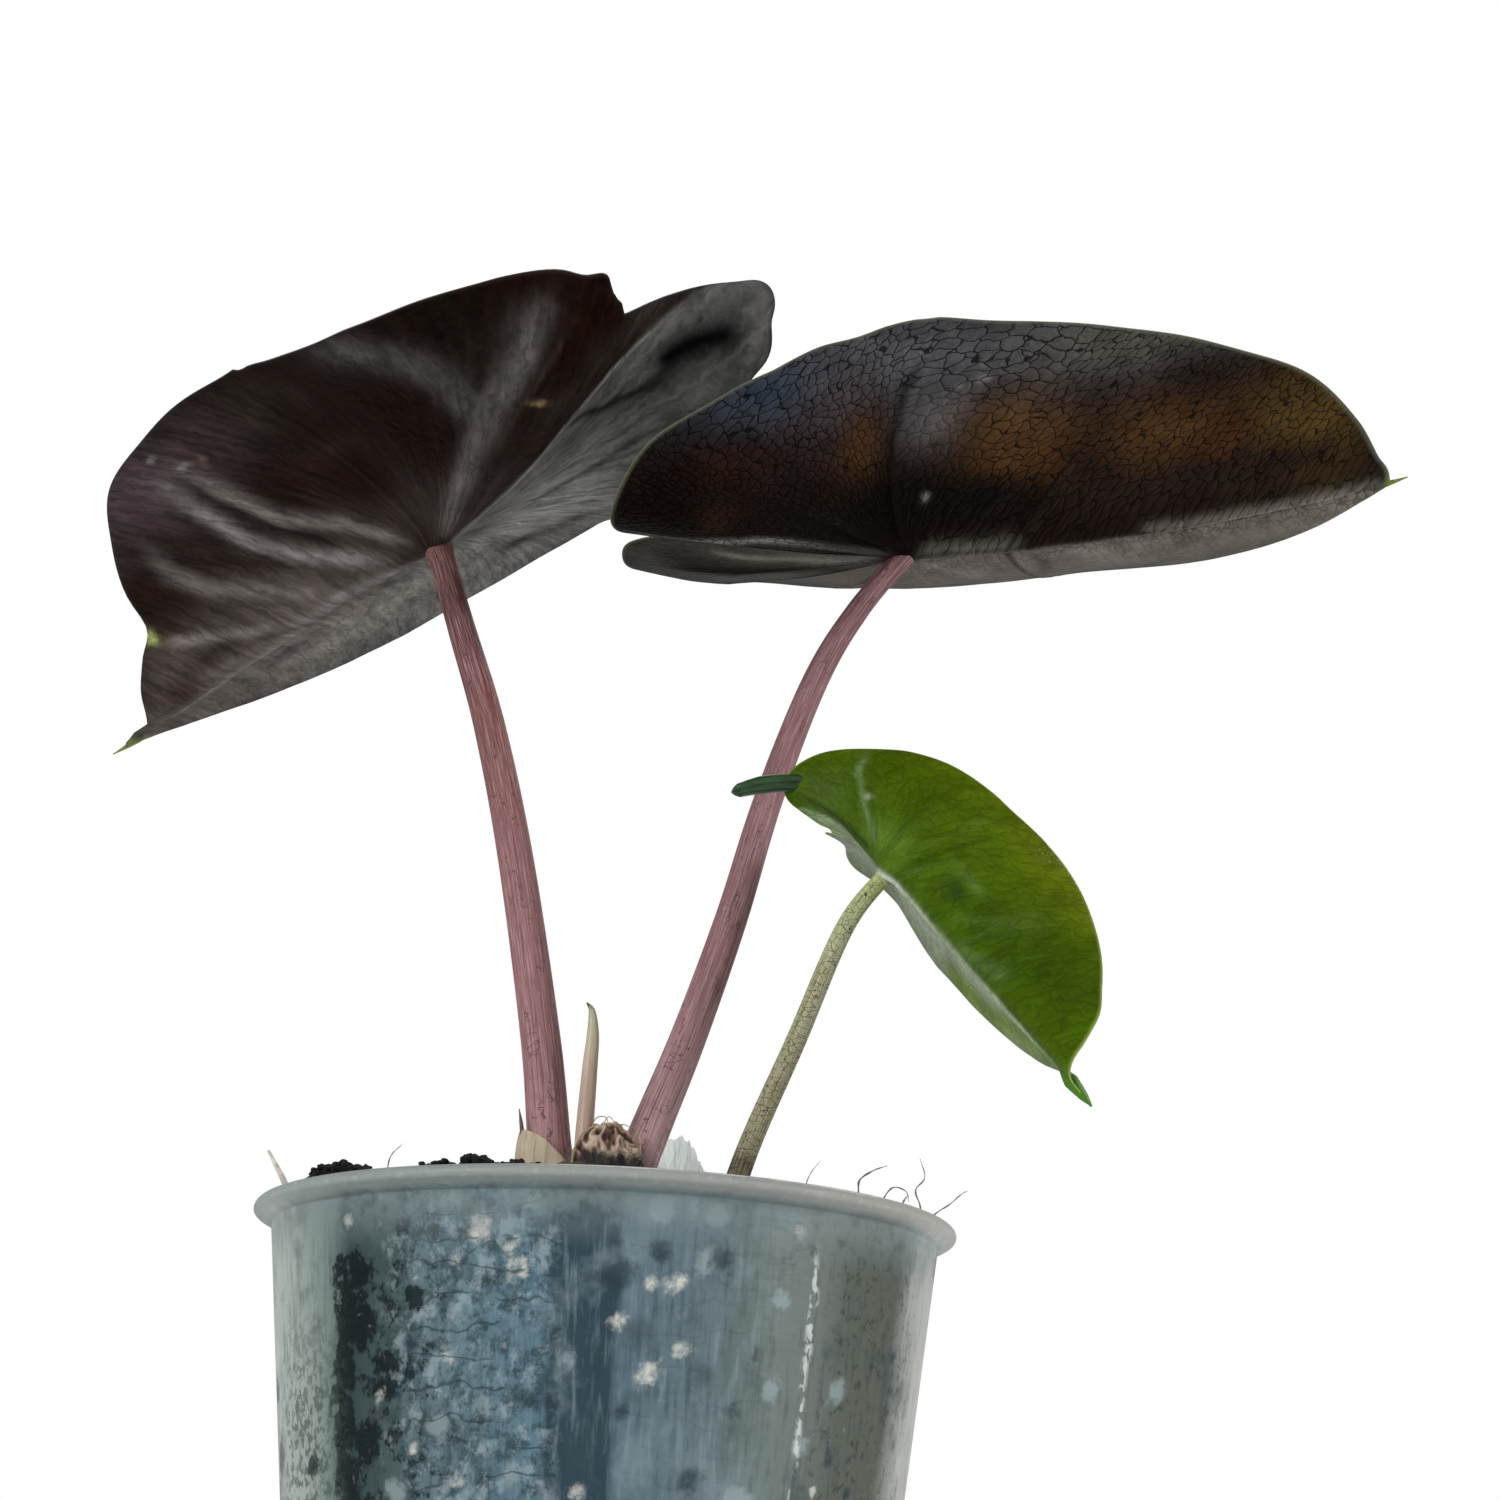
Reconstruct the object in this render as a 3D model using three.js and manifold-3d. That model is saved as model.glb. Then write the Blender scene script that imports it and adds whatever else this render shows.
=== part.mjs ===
// Potted pink dragon alocasia: a clear cup pot full of soil, the crown of the plant with its dry sheaths,
// three stems, three heart-shaped leaves seen from below, a new shoot and a root tip.
// Millimetres, +Z up. The origin is the centre of the pot's flat base.
import * as THREE from 'three';
import { mergeVertices } from 'three/addons/utils/BufferGeometryUtils.js';
import Module from 'manifold-3d';

const wasm = await Module();
wasm.setup();

// Driving dimensions

// The clearance that touching pieces keep.
const gap = 0.3;

// Facets smaller than these sizes are merged once a piece is joined.
const tolerance = { blade: 0.05, soil: 0.12, crown: 0.1 };

const pot = {
  height: 90,
  rimRadius: 50,
  lipHeight: 3,
  lipOverhang: 2.6,
  baseRadius: 37,
  wall: 1,
  footRound: 1,
  sides: 56,
  drainHoles: 5,
  drainHoleRadius: 2.5,
  drainHoleCircle: 22,
};

const soil = {
  edgeHeight: 88.5,
  moundHeight: 6,
  moundRadius: 26,
  roughness: 0.7,
  rings: 9,
  sides: 40,
  crumbs: 30,
  crumbRadius: [0.9, 1.9],
  // Banks of soil that stand above the rim: angle round the pot in degrees, half length, crumbs on top.
  heapRadius: 43,
  heapHalfWidth: 2.4,
  heaps: [
    { angle: 208, halfLength: 6.5, crumbs: 8, height: 93.2 },
    { angle: 226, halfLength: 5.5, crumbs: 6, height: 92.1 },
    { angle: 244, halfLength: 6.5, crumbs: 8, height: 93 },
  ],
  rootlets: { count: 5, radius: 0.35, circle: 43.2, from: -35, step: 11, rise: [4, 8] },
};

const crown = {
  centre: [-2.5, -1.5, 87.5],
  radii: [14, 11.5, 12],
  sides: 16,
  rings: 10,
};

// Dry papery sheaths that grew round the stems. Angles are in degrees round the sheath's own axis,
// 270 is the front; heights are the top edge from the first angle to the last.
const sheathThickness = 0.8;
const sheathBase = 95;
const sheaths = [
  {
    axis: [-7.8, -2.1], lean: [-0.8, -0.2], radius: 4.9,
    from: 165, to: 300, heights: [4, 10, 6.5, 6, 5.5, 3.5],
  },
  {
    axis: [-1.6, -1.4], lean: [0.3, 0.2], radius: 2.6,
    from: 190, to: 350, heights: [6, 9.5, 8, 10.4, 9, 10, 6],
  },
  {
    axis: [4.8, 0.9], lean: [4, -0.5], radius: 4.6,
    from: 275, to: 390, heights: [3.5, 6.5, 7, 5.5, 6.4, 3.6],
  },
];

// Stems: points up the middle, radius at the foot and the top, and how much the foot swells.
const stems = {
  left: {
    path: [[-6.5, -3.5, 88], [-8.5, -2, 98], [-11, 0.5, 116], [-16.5, 5, 144.5], [-22, 8, 166.5],
      [-27.5, 10, 183], [-32.5, 12, 197.5]],
    foot: 3.4,
    top: 1.9,
    swell: 0.6,
  },
  right: {
    path: [[1, 1.4, 88], [4.5, 1.4, 100.5], [10.5, 2, 117.5], [16.2, 2.5, 136], [21.2, 1.5, 155],
      [27.6, -0.5, 173.5], [33.6, -2.5, 184.5], [40.6, -4, 193.5]],
    foot: 3.1,
    top: 1.5,
    swell: 0.9,
  },
  small: {
    path: [[14.5, -10.5, 82], [18.7, -14, 97.5], [25.1, -19, 113.5], [31.2, -23.5, 129], [36.6, -26, 136.5]],
    foot: 1.7,
    top: 1.15,
    swell: 0.5,
  },
};
const stemSides = 10;
const stemSteps = 14;
// The share of a stem's length over which its swollen foot dies away.
const footShare = 0.08;

const shoot = {
  path: [[-3.8, -5.5, 96], [-3.9, -5.2, 101], [-3.6, -4.8, 111], [-3.4, -4.6, 116], [-3.7, -4.6, 119.5],
    [-4.5, -4.6, 120.8]],
  radii: [1.35, 1.3, 1.1, 0.9, 0.55, 0.35],
  sides: 8,
};

const rootTip = {
  path: [[-42, -4, 84], [-44.6, -4.6, 90.5], [-46.2, -5, 93.5], [-48.4, -5, 97.2]],
  radii: [0.45, 0.45, 0.45, 0.4],
  sides: 6,
};

const blade = {
  thickness: 0.6,
  rings: 7,
  marginSteps: 3,
  ribSides: 4,
  ribSteps: 6,
  ribRadius: 0.8,
  sideRibRadius: 0.6,
  ribTip: 0.32,
  ribSunk: 0.15,
  ribReach: 0.86,
};

// Leaves. joint is where the stem meets the blade; heading, dip and roll turn the leaf, in degrees.
// front is the length from the joint to the shoulders of the tip, drip the thin tip beyond it and lobes
// the lobes behind the joint. Pairs are the leaf's own left and right half. lift folds a half up from the
// midrib, lobeLift adds to it towards the lobe's end, and cup curls it towards its margin. web folds the
// skin between the lobes. droop bends the leaf down along its midrib, twist turns its halves about it.
const leaves = {
  left: {
    joint: [-32.5, 12, 198], heading: 134, dip: 10.5, roll: -32.5,
    front: 82.5, drip: 6.2, lobes: [61.5, 60], halves: [44.5, 38], lobeEnds: [0.16, 0.67], sinus: 0.9,
    shoulders: [0.1, 1.0], lift: [66, -4], lobeLift: [-36, -71], cup: [-19, -11], web: 14,
    droop: 3, lobeDroop: -35, twist: 8, lobeTwist: 11.5, sway: 0, quilt: 0.6,
  },
  right: {
    joint: [40.6, -4, 194], heading: 6.5, dip: -9, roll: -7.7,
    front: 81.5, drip: 4.7, lobes: [43, 45.5], halves: [35, 41], lobeEnds: [0.27, 0.42], sinus: 0.57,
    shoulders: [1.07, 1.24], lift: [2, 29], lobeLift: [0, 42], cup: [36, -6], web: -19,
    droop: -11.5, lobeDroop: -21, twist: -5, lobeTwist: 23, sway: 0, quilt: 0.4,
  },
  small: {
    joint: [37.1, -26, 137], heading: -54, dip: 43.7, roll: -33.5,
    front: 59, drip: 6.7, lobes: [21, 20.3], halves: [23, 22], lobeEnds: [0.45, 0.32], sinus: 0.66,
    shoulders: [0.64, 1.14], lift: [16, 77], lobeLift: [-6, 25], cup: [-41, 54], web: 28,
    droop: 4, lobeDroop: 35, twist: 5, lobeTwist: 3.5, sway: -0.18, quilt: 0.4,
  },
};

// The small leaf's right lobe ends in a rolled tail.
const rolledTail = {
  path: [[29, -16.6, 152.6], [24.5, -17, 151.7], [20, -17, 151.8], [15.2, -17, 150.7]],
  radii: [0.8, 1.2, 1.25, 0.6],
  sides: 6,
};

// Vein layout on every blade, in degrees from the midrib and shares of the front length.
const veins = {
  firstSideAngle: 63.4,
  lobeStep: 33.2,
  perFront: 3.3,
  forwardCurl: 0.25,
  lobeRibSlope: 0.3,
};

// General shapes

const { degToRad } = THREE.MathUtils;

// A repeatable random draw between 0 and 1.
function makeDraw(seed) {
  let state = seed;
  return () => {
    state = (Math.imul(state, 1664525) + 1013904223) >>> 0;
    return state / 4294967296;
  };
}

function vector([x, y, z]) {
  return new THREE.Vector3(x, y, z);
}

function geometryOf(vertices, triangles) {
  const geometry = new THREE.BufferGeometry();
  const positions = vertices.flatMap((p) => [p.x, p.y, p.z]);
  geometry.setAttribute('position', new THREE.Float32BufferAttribute(positions, 3));
  geometry.setIndex(triangles.flat());
  return geometry;
}

function toSolid(geometry) {
  const bare = geometry.clone();
  bare.deleteAttribute('normal');
  bare.deleteAttribute('uv');
  const merged = mergeVertices(bare, 1e-4);
  return new wasm.Manifold(new wasm.Mesh({
    numProp: 3,
    vertProperties: Float32Array.from(merged.attributes.position.array),
    triVerts: Uint32Array.from(merged.index.array),
  }));
}

// The largest piece of a solid, without scraps that a cut left over and slivers finer than the tolerance.
function mainPiece(solid, tolerance) {
  const pieces = solid.asOriginal().simplify(tolerance).decompose();
  pieces.sort((a, b) => b.volume() - a.volume());
  return pieces[0];
}

function toGeometry(solid) {
  const mesh = solid.getMesh();
  const geometry = new THREE.BufferGeometry();
  const positions = Float32Array.from(mesh.vertProperties);
  geometry.setAttribute('position', new THREE.Float32BufferAttribute(positions, 3));
  geometry.setIndex(Array.from(mesh.triVerts));
  return geometry;
}

function join(solids) {
  return solids.reduce((whole, piece) => whole.add(piece));
}

// A closed skin over rings of equally many points, with a fan over each end.
function skin(rings) {
  const count = rings[0].length;
  const vertices = rings.flat();
  const triangles = [];
  for (let r = 0; r + 1 < rings.length; r += 1) {
    for (let i = 0; i < count; i += 1) {
      const next = (i + 1) % count;
      const a = r * count + i;
      const b = r * count + next;
      const c = (r + 1) * count + next;
      const d = (r + 1) * count + i;
      triangles.push([a, b, c], [a, c, d]);
    }
  }
  for (const end of [0, rings.length - 1]) {
    const middle = rings[end].reduce((sum, p) => sum.add(p), new THREE.Vector3()).divideScalar(count);
    const centre = vertices.push(middle) - 1;
    for (let i = 0; i < count; i += 1) {
      const a = end * count + i;
      const b = end * count + ((i + 1) % count);
      triangles.push(end === 0 ? [centre, b, a] : [centre, a, b]);
    }
  }
  return geometryOf(vertices, triangles);
}

// Round sections along a list of centres, each square to the way the tube runs.
// A mitre plane, where one is given, cuts the last section along it.
function tubeRings(centres, radii, sides, mitre) {
  return centres.map((centre, i) => {
    const before = centres[Math.max(i - 1, 0)];
    const after = centres[Math.min(i + 1, centres.length - 1)];
    const along = after.clone().sub(before).normalize();
    const across = new THREE.Vector3(0, 1, 0.02).cross(along).normalize();
    const up = along.clone().cross(across);
    return Array.from({ length: sides }, (_, k) => {
      const angle = (2 * Math.PI * k) / sides;
      const point = centre.clone()
        .addScaledVector(across, radii[i] * Math.cos(angle))
        .addScaledVector(up, radii[i] * Math.sin(angle));
      if (mitre && i === centres.length - 1) {
        const off = point.clone().sub(mitre.point).dot(mitre.normal);
        point.addScaledVector(along, -off / along.dot(mitre.normal));
      }
      return point;
    });
  });
}

function smoothPath(points) {
  return new THREE.CatmullRomCurve3(points.map(vector), false, 'catmullrom', 0.5);
}

function ease(share) {
  return (1.3 * share * share) / (share + 0.3);
}

function smoothStep(value) {
  const t = THREE.MathUtils.clamp(value, 0, 1);
  return t * t * (3 - 2 * t);
}

// Leaf blades

// Half of the flat outline, from the drip tip round the side and the lobe to the notch at the joint's back.
function halfOutline(leaf, side) {
  const half = leaf.halves[side];
  const lobe = leaf.lobes[side];
  const meanLobe = (leaf.lobes[0] + leaf.lobes[1]) / 2;
  const { front, drip, sinus } = leaf;
  const shoulder = leaf.shoulders[side];
  const end = leaf.lobeEnds[side];
  const points = [
    [front + drip, 0],
    [front + 0.35 * drip, 0.025 * half],
    [0.985 * front, 0.075 * half * shoulder],
    [0.925 * front, 0.26 * half * shoulder],
    [0.78 * front, 0.54 * half * (0.5 + 0.5 * shoulder)],
    [0.55 * front, 0.8 * half],
    [0.28 * front, 0.96 * half],
    [0.02 * front, half],
    [-0.38 * lobe, 0.97 * half],
    [-0.72 * lobe, 0.8 * half],
    [-0.94 * lobe, (0.45 + 0.55 * end) * half],
    [-lobe, end * half],
    [-0.93 * lobe, 0.52 * end * half],
    [-(0.45 * sinus + 0.51) * lobe, 0.2 * end * half],
    [-(0.9 * sinus + 0.1) * lobe, 0.035 * half],
    [-sinus * meanLobe, 0],
  ];
  return smoothPath(points.map(([x, y]) => [x, y, 0])).getPoints((points.length - 1) * blade.marginSteps)
    .map((p) => [p.x, Math.max(p.y, 0) * (side === 0 ? 1 : -1)]);
}

// The whole outline as a loop, from the tip round the left half to the notch and back round the right half.
function outlineLoop(leaf) {
  return [...halfOutline(leaf, 0), ...halfOutline(leaf, 1).slice(1, -1).reverse()];
}

// A side vein runs where this number is whole: 0 is the first pair from the joint, -1, -2 follow along the
// midrib, 1 and 2 fan into the lobes.
function veinNumber(leaf, x, y) {
  const side = y < 0 ? 1 : 0;
  const across = Math.abs(y);
  const forward = x - (veins.forwardCurl * across * across) / leaf.halves[side];
  const foot = forward - across / Math.tan(degToRad(veins.firstSideAngle));
  if (foot > 0) return (-veins.perFront * foot) / leaf.front;
  return (THREE.MathUtils.radToDeg(Math.atan2(across, forward)) - veins.firstSideAngle) / veins.lobeStep;
}

// A point of the blade's middle surface for the flat point x, y. The half is rolled out sideways by adding up
// small steps that turn from the web's angle to the half's own, then bent along the midrib and twisted.
function bladePoint(leaf, x, y) {
  const side = y < 0 ? 1 : 0;
  const across = Math.abs(y);
  const back = x < 0 ? ease(-x / leaf.lobes[side]) : 0;
  const fold = degToRad(leaf.lift[side] + leaf.lobeLift[side] * back);
  const cup = degToRad(leaf.cup[side]);
  const hinge = 1.5 + veins.lobeRibSlope * Math.max(0, -x);
  const web = degToRad(leaf.web) * Math.min(1, 2 * back);
  const steps = 16;
  let sideways = 0;
  let height = 0;
  let slope = web;
  for (let i = 0; i < steps; i += 1) {
    const d = (across * (i + 0.5)) / steps;
    const turn = smoothStep((d / hinge - 0.4) / 1.2);
    slope = web * (1 - turn) + (fold + (cup * Math.max(0, d - hinge)) / leaf.halves[side]) * turn;
    sideways += (Math.cos(slope) * across) / steps;
    height += (Math.sin(slope) * across) / steps;
  }
  const swell = leaf.quilt * Math.abs(Math.sin(Math.PI * veinNumber(leaf, x, y))) * Math.min(1, across / 12);
  sideways -= Math.sin(slope) * swell;
  height += Math.cos(slope) * swell;
  if (side === 1) sideways = -sideways;

  const twist = degToRad(x > 0 ? leaf.twist * ease(x / leaf.front) : leaf.lobeTwist * back);
  const turnedSide = sideways * Math.cos(twist) - height * Math.sin(twist);
  const turnedUp = sideways * Math.sin(twist) + height * Math.cos(twist);

  const meanLobe = (leaf.lobes[0] + leaf.lobes[1]) / 2;
  const bend = degToRad(x > 0 ? leaf.droop / leaf.front : leaf.lobeDroop / meanLobe);
  const run = Math.abs(x);
  const way = x > 0 ? 1 : -1;
  const angle = bend * run;
  const along = Math.abs(bend) < 1e-6 ? run : Math.sin(angle) / bend;
  const drop = Math.abs(bend) < 1e-6 ? 0 : (1 - Math.cos(angle)) / bend;
  return new THREE.Vector3(
    way * (along + Math.sin(angle) * turnedUp),
    turnedSide + (leaf.sway * x * run) / leaf.front,
    Math.cos(angle) * turnedUp - drop,
  );
}

function bladeNormal(leaf, x, y) {
  const step = 0.2;
  const hand = y < 0 ? -1 : 1;
  const base = bladePoint(leaf, x, y);
  const alongX = bladePoint(leaf, x + step, y).sub(base);
  const alongY = bladePoint(leaf, x, y + hand * step).sub(base).multiplyScalar(hand);
  return alongX.cross(alongY).normalize();
}

// Two equal skins over a fan of rays from the joint to the margin, closed round the margin.
function bladeSolid(leaf) {
  const margin = outlineLoop(leaf);
  const count = margin.length;
  const spots = [[0, 0]];
  for (let ring = 1; ring <= blade.rings; ring += 1) {
    const share = ring / blade.rings;
    margin.forEach(([x, y]) => spots.push([x * share, y * share]));
  }
  const vertices = [];
  for (const hand of [1, -1]) {
    spots.forEach(([x, y]) => vertices.push(
      bladePoint(leaf, x, y).addScaledVector(bladeNormal(leaf, x, y), (hand * blade.thickness) / 2),
    ));
  }
  const under = spots.length;
  const at = (ring, i) => (ring === 0 ? 0 : 1 + (ring - 1) * count + (i % count));
  const triangles = [];
  for (let i = 0; i < count; i += 1) {
    for (let ring = 0; ring < blade.rings; ring += 1) {
      const inner = at(ring, i);
      const innerNext = at(ring, i + 1);
      const outer = at(ring + 1, i);
      const outerNext = at(ring + 1, i + 1);
      triangles.push([inner, outer, outerNext], [under + inner, under + outerNext, under + outer]);
      if (ring > 0) {
        triangles.push([inner, outerNext, innerNext], [under + inner, under + innerNext, under + outerNext]);
      }
    }
    const a = at(blade.rings, i);
    const b = at(blade.rings, i + 1);
    triangles.push([a, under + a, under + b], [a, under + b, b]);
  }
  return toSolid(geometryOf(vertices, triangles));
}

// How far out a flat point lies: 0 at the joint, 1 on the margin.
function shareOfReach(loop, x, y) {
  for (let i = 0; i < loop.length; i += 1) {
    const [ax, ay] = loop[i];
    const [bx, by] = loop[(i + 1) % loop.length];
    const whole = ax * by - ay * bx;
    const first = (x * by - y * bx) / whole;
    const second = (ax * y - ay * x) / whole;
    if (first >= 0 && second >= 0) return first + second;
  }
  return 1;
}

// The ribs as lines on the flat blade, each a function of a length from 0 up.
function ribLines(leaf) {
  const lines = [{ radius: blade.ribRadius, at: (s) => [s, 0] }];
  [0, 1].forEach((side) => {
    const hand = side === 0 ? 1 : -1;
    lines.push({ radius: blade.ribRadius, at: (s) => [-s, hand * veins.lobeRibSlope * s] });
    for (let number = -2; number <= 2; number += 1) {
      const foot = number < 0 ? (-number * leaf.front) / veins.perFront : 0;
      const angle = degToRad(veins.firstSideAngle + (number > 0 ? number * veins.lobeStep : 0));
      const at = (s) => [
        foot + s / Math.tan(angle) + (veins.forwardCurl * s * s) / leaf.halves[side],
        hand * s,
      ];
      lines.push({ radius: blade.sideRibRadius, at });
    }
  });
  return lines;
}

function ribSolids(leaf) {
  const loop = outlineLoop(leaf);
  return ribLines(leaf).map(({ radius, at }) => {
    let length = 1;
    while (shareOfReach(loop, ...at(length + 1)) < blade.ribReach && length < leaf.front) length += 1;
    const centres = [];
    const radii = [];
    for (let i = 0; i <= blade.ribSteps; i += 1) {
      const share = i / blade.ribSteps;
      const [x, y] = at(0.01 + share * length);
      const thick = THREE.MathUtils.lerp(radius, blade.ribTip, share);
      centres.push(bladePoint(leaf, x, y).addScaledVector(bladeNormal(leaf, x, y), blade.ribSunk - thick));
      radii.push(thick);
    }
    return toSolid(skin(tubeRings(centres, radii, blade.ribSides)));
  });
}

function leafFrame(leaf) {
  const heading = degToRad(leaf.heading);
  const dip = degToRad(leaf.dip);
  const roll = degToRad(leaf.roll);
  const front = new THREE.Vector3(
    Math.cos(heading) * Math.cos(dip),
    Math.sin(heading) * Math.cos(dip),
    -Math.sin(dip),
  );
  const level = new THREE.Vector3(-Math.sin(heading), Math.cos(heading), 0);
  const upright = front.clone().cross(level);
  const left = level.multiplyScalar(Math.cos(roll)).addScaledVector(upright, Math.sin(roll));
  const up = front.clone().cross(left);
  return new THREE.Matrix4().makeBasis(front, left, up).setPosition(vector(leaf.joint));
}

function makeLeaf(leaf, extras = []) {
  const frame = leafFrame(leaf);
  const inverse = frame.clone().invert();
  const placedExtras = extras.map((geometry) => toSolid(geometry.applyMatrix4(inverse)));
  const whole = join([bladeSolid(leaf), ...ribSolids(leaf), ...placedExtras]);
  return { geometry: toGeometry(mainPiece(whole, tolerance.blade)), frame };
}

// Stems

// The stem stops short of the blade's ribs, cut along the blade.
function stemGeometry(stem, leaf, grow = 0) {
  const curve = smoothPath(stem.path);
  const frame = leafFrame(leaf);
  const normal = new THREE.Vector3().setFromMatrixColumn(frame, 2);
  const clear = 2 * blade.ribRadius - blade.ribSunk + gap;
  const mitre = { point: vector(leaf.joint).addScaledVector(normal, -clear + grow), normal };
  const centres = [];
  const radii = [];
  for (let i = 0; i <= stemSteps; i += 1) {
    const share = i / stemSteps;
    const along = i < stemSteps ? share * 0.95 : 1;
    centres.push(curve.getPoint(along));
    const swollen = stem.swell * Math.exp(-share / footShare);
    radii.push(THREE.MathUtils.lerp(stem.foot, stem.top, share) + swollen + grow);
  }
  centres[0].z -= grow;
  return skin(tubeRings(centres, radii, stemSides, mitre));
}

// A tube along a smooth path whose radius follows a few given values.
const stepsPerPoint = 2;

function taperedGeometry({ path, radii, sides }, grow = 0) {
  const curve = smoothPath(path);
  const steps = (path.length - 1) * stepsPerPoint;
  const centres = [];
  const widths = [];
  for (let i = 0; i <= steps; i += 1) {
    const place = i / stepsPerPoint;
    const low = Math.min(Math.floor(place), radii.length - 2);
    centres.push(curve.getPoint(i / steps));
    widths.push(THREE.MathUtils.lerp(radii[low], radii[low + 1], place - low) + grow);
  }
  centres[0].z -= grow;
  return skin(tubeRings(centres, widths, sides));
}

// Crown and sheaths

function crownBody(grow = 0) {
  const egg = new THREE.SphereGeometry(1, crown.sides, crown.rings);
  egg.rotateX(Math.PI / 2);
  egg.scale(...crown.radii.map((radius) => radius + grow));
  egg.translate(...crown.centre);
  return toSolid(egg);
}

// A curved scrap of sheath: a wall round an axis between two angles, with a ragged top edge.
function sheathSolid(sheath) {
  const columns = (sheath.heights.length - 1) * 2;
  const rows = 3;
  const rings = [];
  for (let i = 0; i <= columns; i += 1) {
    const share = i / columns;
    const angle = degToRad(THREE.MathUtils.lerp(sheath.from, sheath.to, share));
    const low = Math.min(Math.floor(i / 2), sheath.heights.length - 2);
    const height = THREE.MathUtils.lerp(sheath.heights[low], sheath.heights[low + 1], i / 2 - low);
    const section = [];
    for (const [hand, order] of [[1, [0, 1, 2, 3]], [-1, [3, 2, 1, 0]]]) {
      order.forEach((row) => {
        const rise = row / rows;
        const radius = sheath.radius + (hand * sheathThickness) / 2;
        section.push(new THREE.Vector3(
          sheath.axis[0] + sheath.lean[0] * rise + radius * Math.cos(angle),
          sheath.axis[1] + sheath.lean[1] * rise + radius * Math.sin(angle),
          sheathBase + rise * height,
        ));
      });
    }
    rings.push(section);
  }
  return toSolid(skin(rings));
}

// Soil

function soilHeight(radius) {
  return soil.edgeHeight + soil.moundHeight * Math.exp(-((radius / soil.moundRadius) ** 2));
}

function wallRadiusAt(z) {
  const topRadius = pot.rimRadius - pot.lipOverhang;
  return pot.baseRadius + ((topRadius - pot.baseRadius) * z) / (pot.height - pot.lipHeight);
}

// A plug that fills the pot, with a bumpy mounded top.
function soilPlug() {
  const draw = makeDraw(11);
  const inner = (z) => wallRadiusAt(z) - pot.wall - gap;
  const rings = [pot.wall + gap, soil.edgeHeight].map((z) => ({ radius: inner(z), z }));
  for (let i = 1; i < soil.rings; i += 1) {
    const radius = inner(soil.edgeHeight) * (1 - i / soil.rings);
    rings.push({ radius, z: soilHeight(radius), rough: soil.roughness });
  }
  return toSolid(skin(rings.map(({ radius, z, rough = 0 }) => Array.from({ length: soil.sides }, (_, i) => {
    const angle = (2 * Math.PI * i) / soil.sides;
    const bump = rough * (2 * draw() - 1);
    return new THREE.Vector3(radius * Math.cos(angle), radius * Math.sin(angle), z + bump);
  }))));
}

function crumb(draw, x, y, z) {
  const [low, high] = soil.crumbRadius;
  const lump = new THREE.IcosahedronGeometry(THREE.MathUtils.lerp(low, high, draw()), 0);
  lump.scale(1, 0.7 + 0.5 * draw(), 0.6 + 0.4 * draw());
  lump.rotateX(Math.PI * draw());
  lump.rotateZ(Math.PI * draw());
  lump.translate(x, y, z);
  return toSolid(lump);
}

function crumbSolids() {
  const draw = makeDraw(23);
  const lumps = [];
  const reach = wallRadiusAt(soil.edgeHeight) - pot.wall - soil.crumbRadius[1] - 2 * gap;
  for (let i = 0; i < soil.crumbs; i += 1) {
    const radius = reach * Math.sqrt(0.12 + 0.88 * draw());
    const angle = 2 * Math.PI * draw();
    lumps.push(crumb(draw, radius * Math.cos(angle), radius * Math.sin(angle), soilHeight(radius) + 0.2));
  }
  soil.heaps.forEach(({ angle, halfLength, crumbs, height }) => {
    const ground = soilHeight(soil.heapRadius);
    const bank = new THREE.IcosahedronGeometry(1, 1);
    bank.scale(soil.heapHalfWidth, halfLength, height - ground);
    bank.translate(soil.heapRadius, 0, ground);
    bank.rotateZ(degToRad(angle));
    lumps.push(toSolid(bank));
    for (let i = 0; i < crumbs; i += 1) {
      const along = 2 * draw() - 1;
      const turn = degToRad(angle) + (halfLength * along) / soil.heapRadius;
      const out = Math.min(soil.heapRadius + 1.2 * (2 * draw() - 1), reach);
      const level = ground + (height - ground) * Math.sqrt(1 - along * along);
      lumps.push(crumb(draw, out * Math.cos(turn), out * Math.sin(turn), level));
    }
  });
  return lumps;
}

// Thin dark rootlets that wave above the soil near the right rim.
function rootletSolids() {
  const draw = makeDraw(37);
  const { count, radius, circle, from, step, rise } = soil.rootlets;
  return Array.from({ length: count }, (_, i) => {
    const angle = degToRad(from + step * i);
    const [x, y, z] = [circle * Math.cos(angle), circle * Math.sin(angle), soilHeight(circle) - 1.5];
    const lean = 1.5 * (2 * draw() - 1);
    const height = THREE.MathUtils.lerp(rise[0], rise[1], draw());
    const path = [[x, y, z], [x + 0.3, y + lean, z + 0.5 * height], [x + 1.4, y + 1.5 * lean, z + height]];
    return toSolid(taperedGeometry({ path, radii: [radius, radius, radius], sides: 5 }));
  });
}

// Pot

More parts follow.
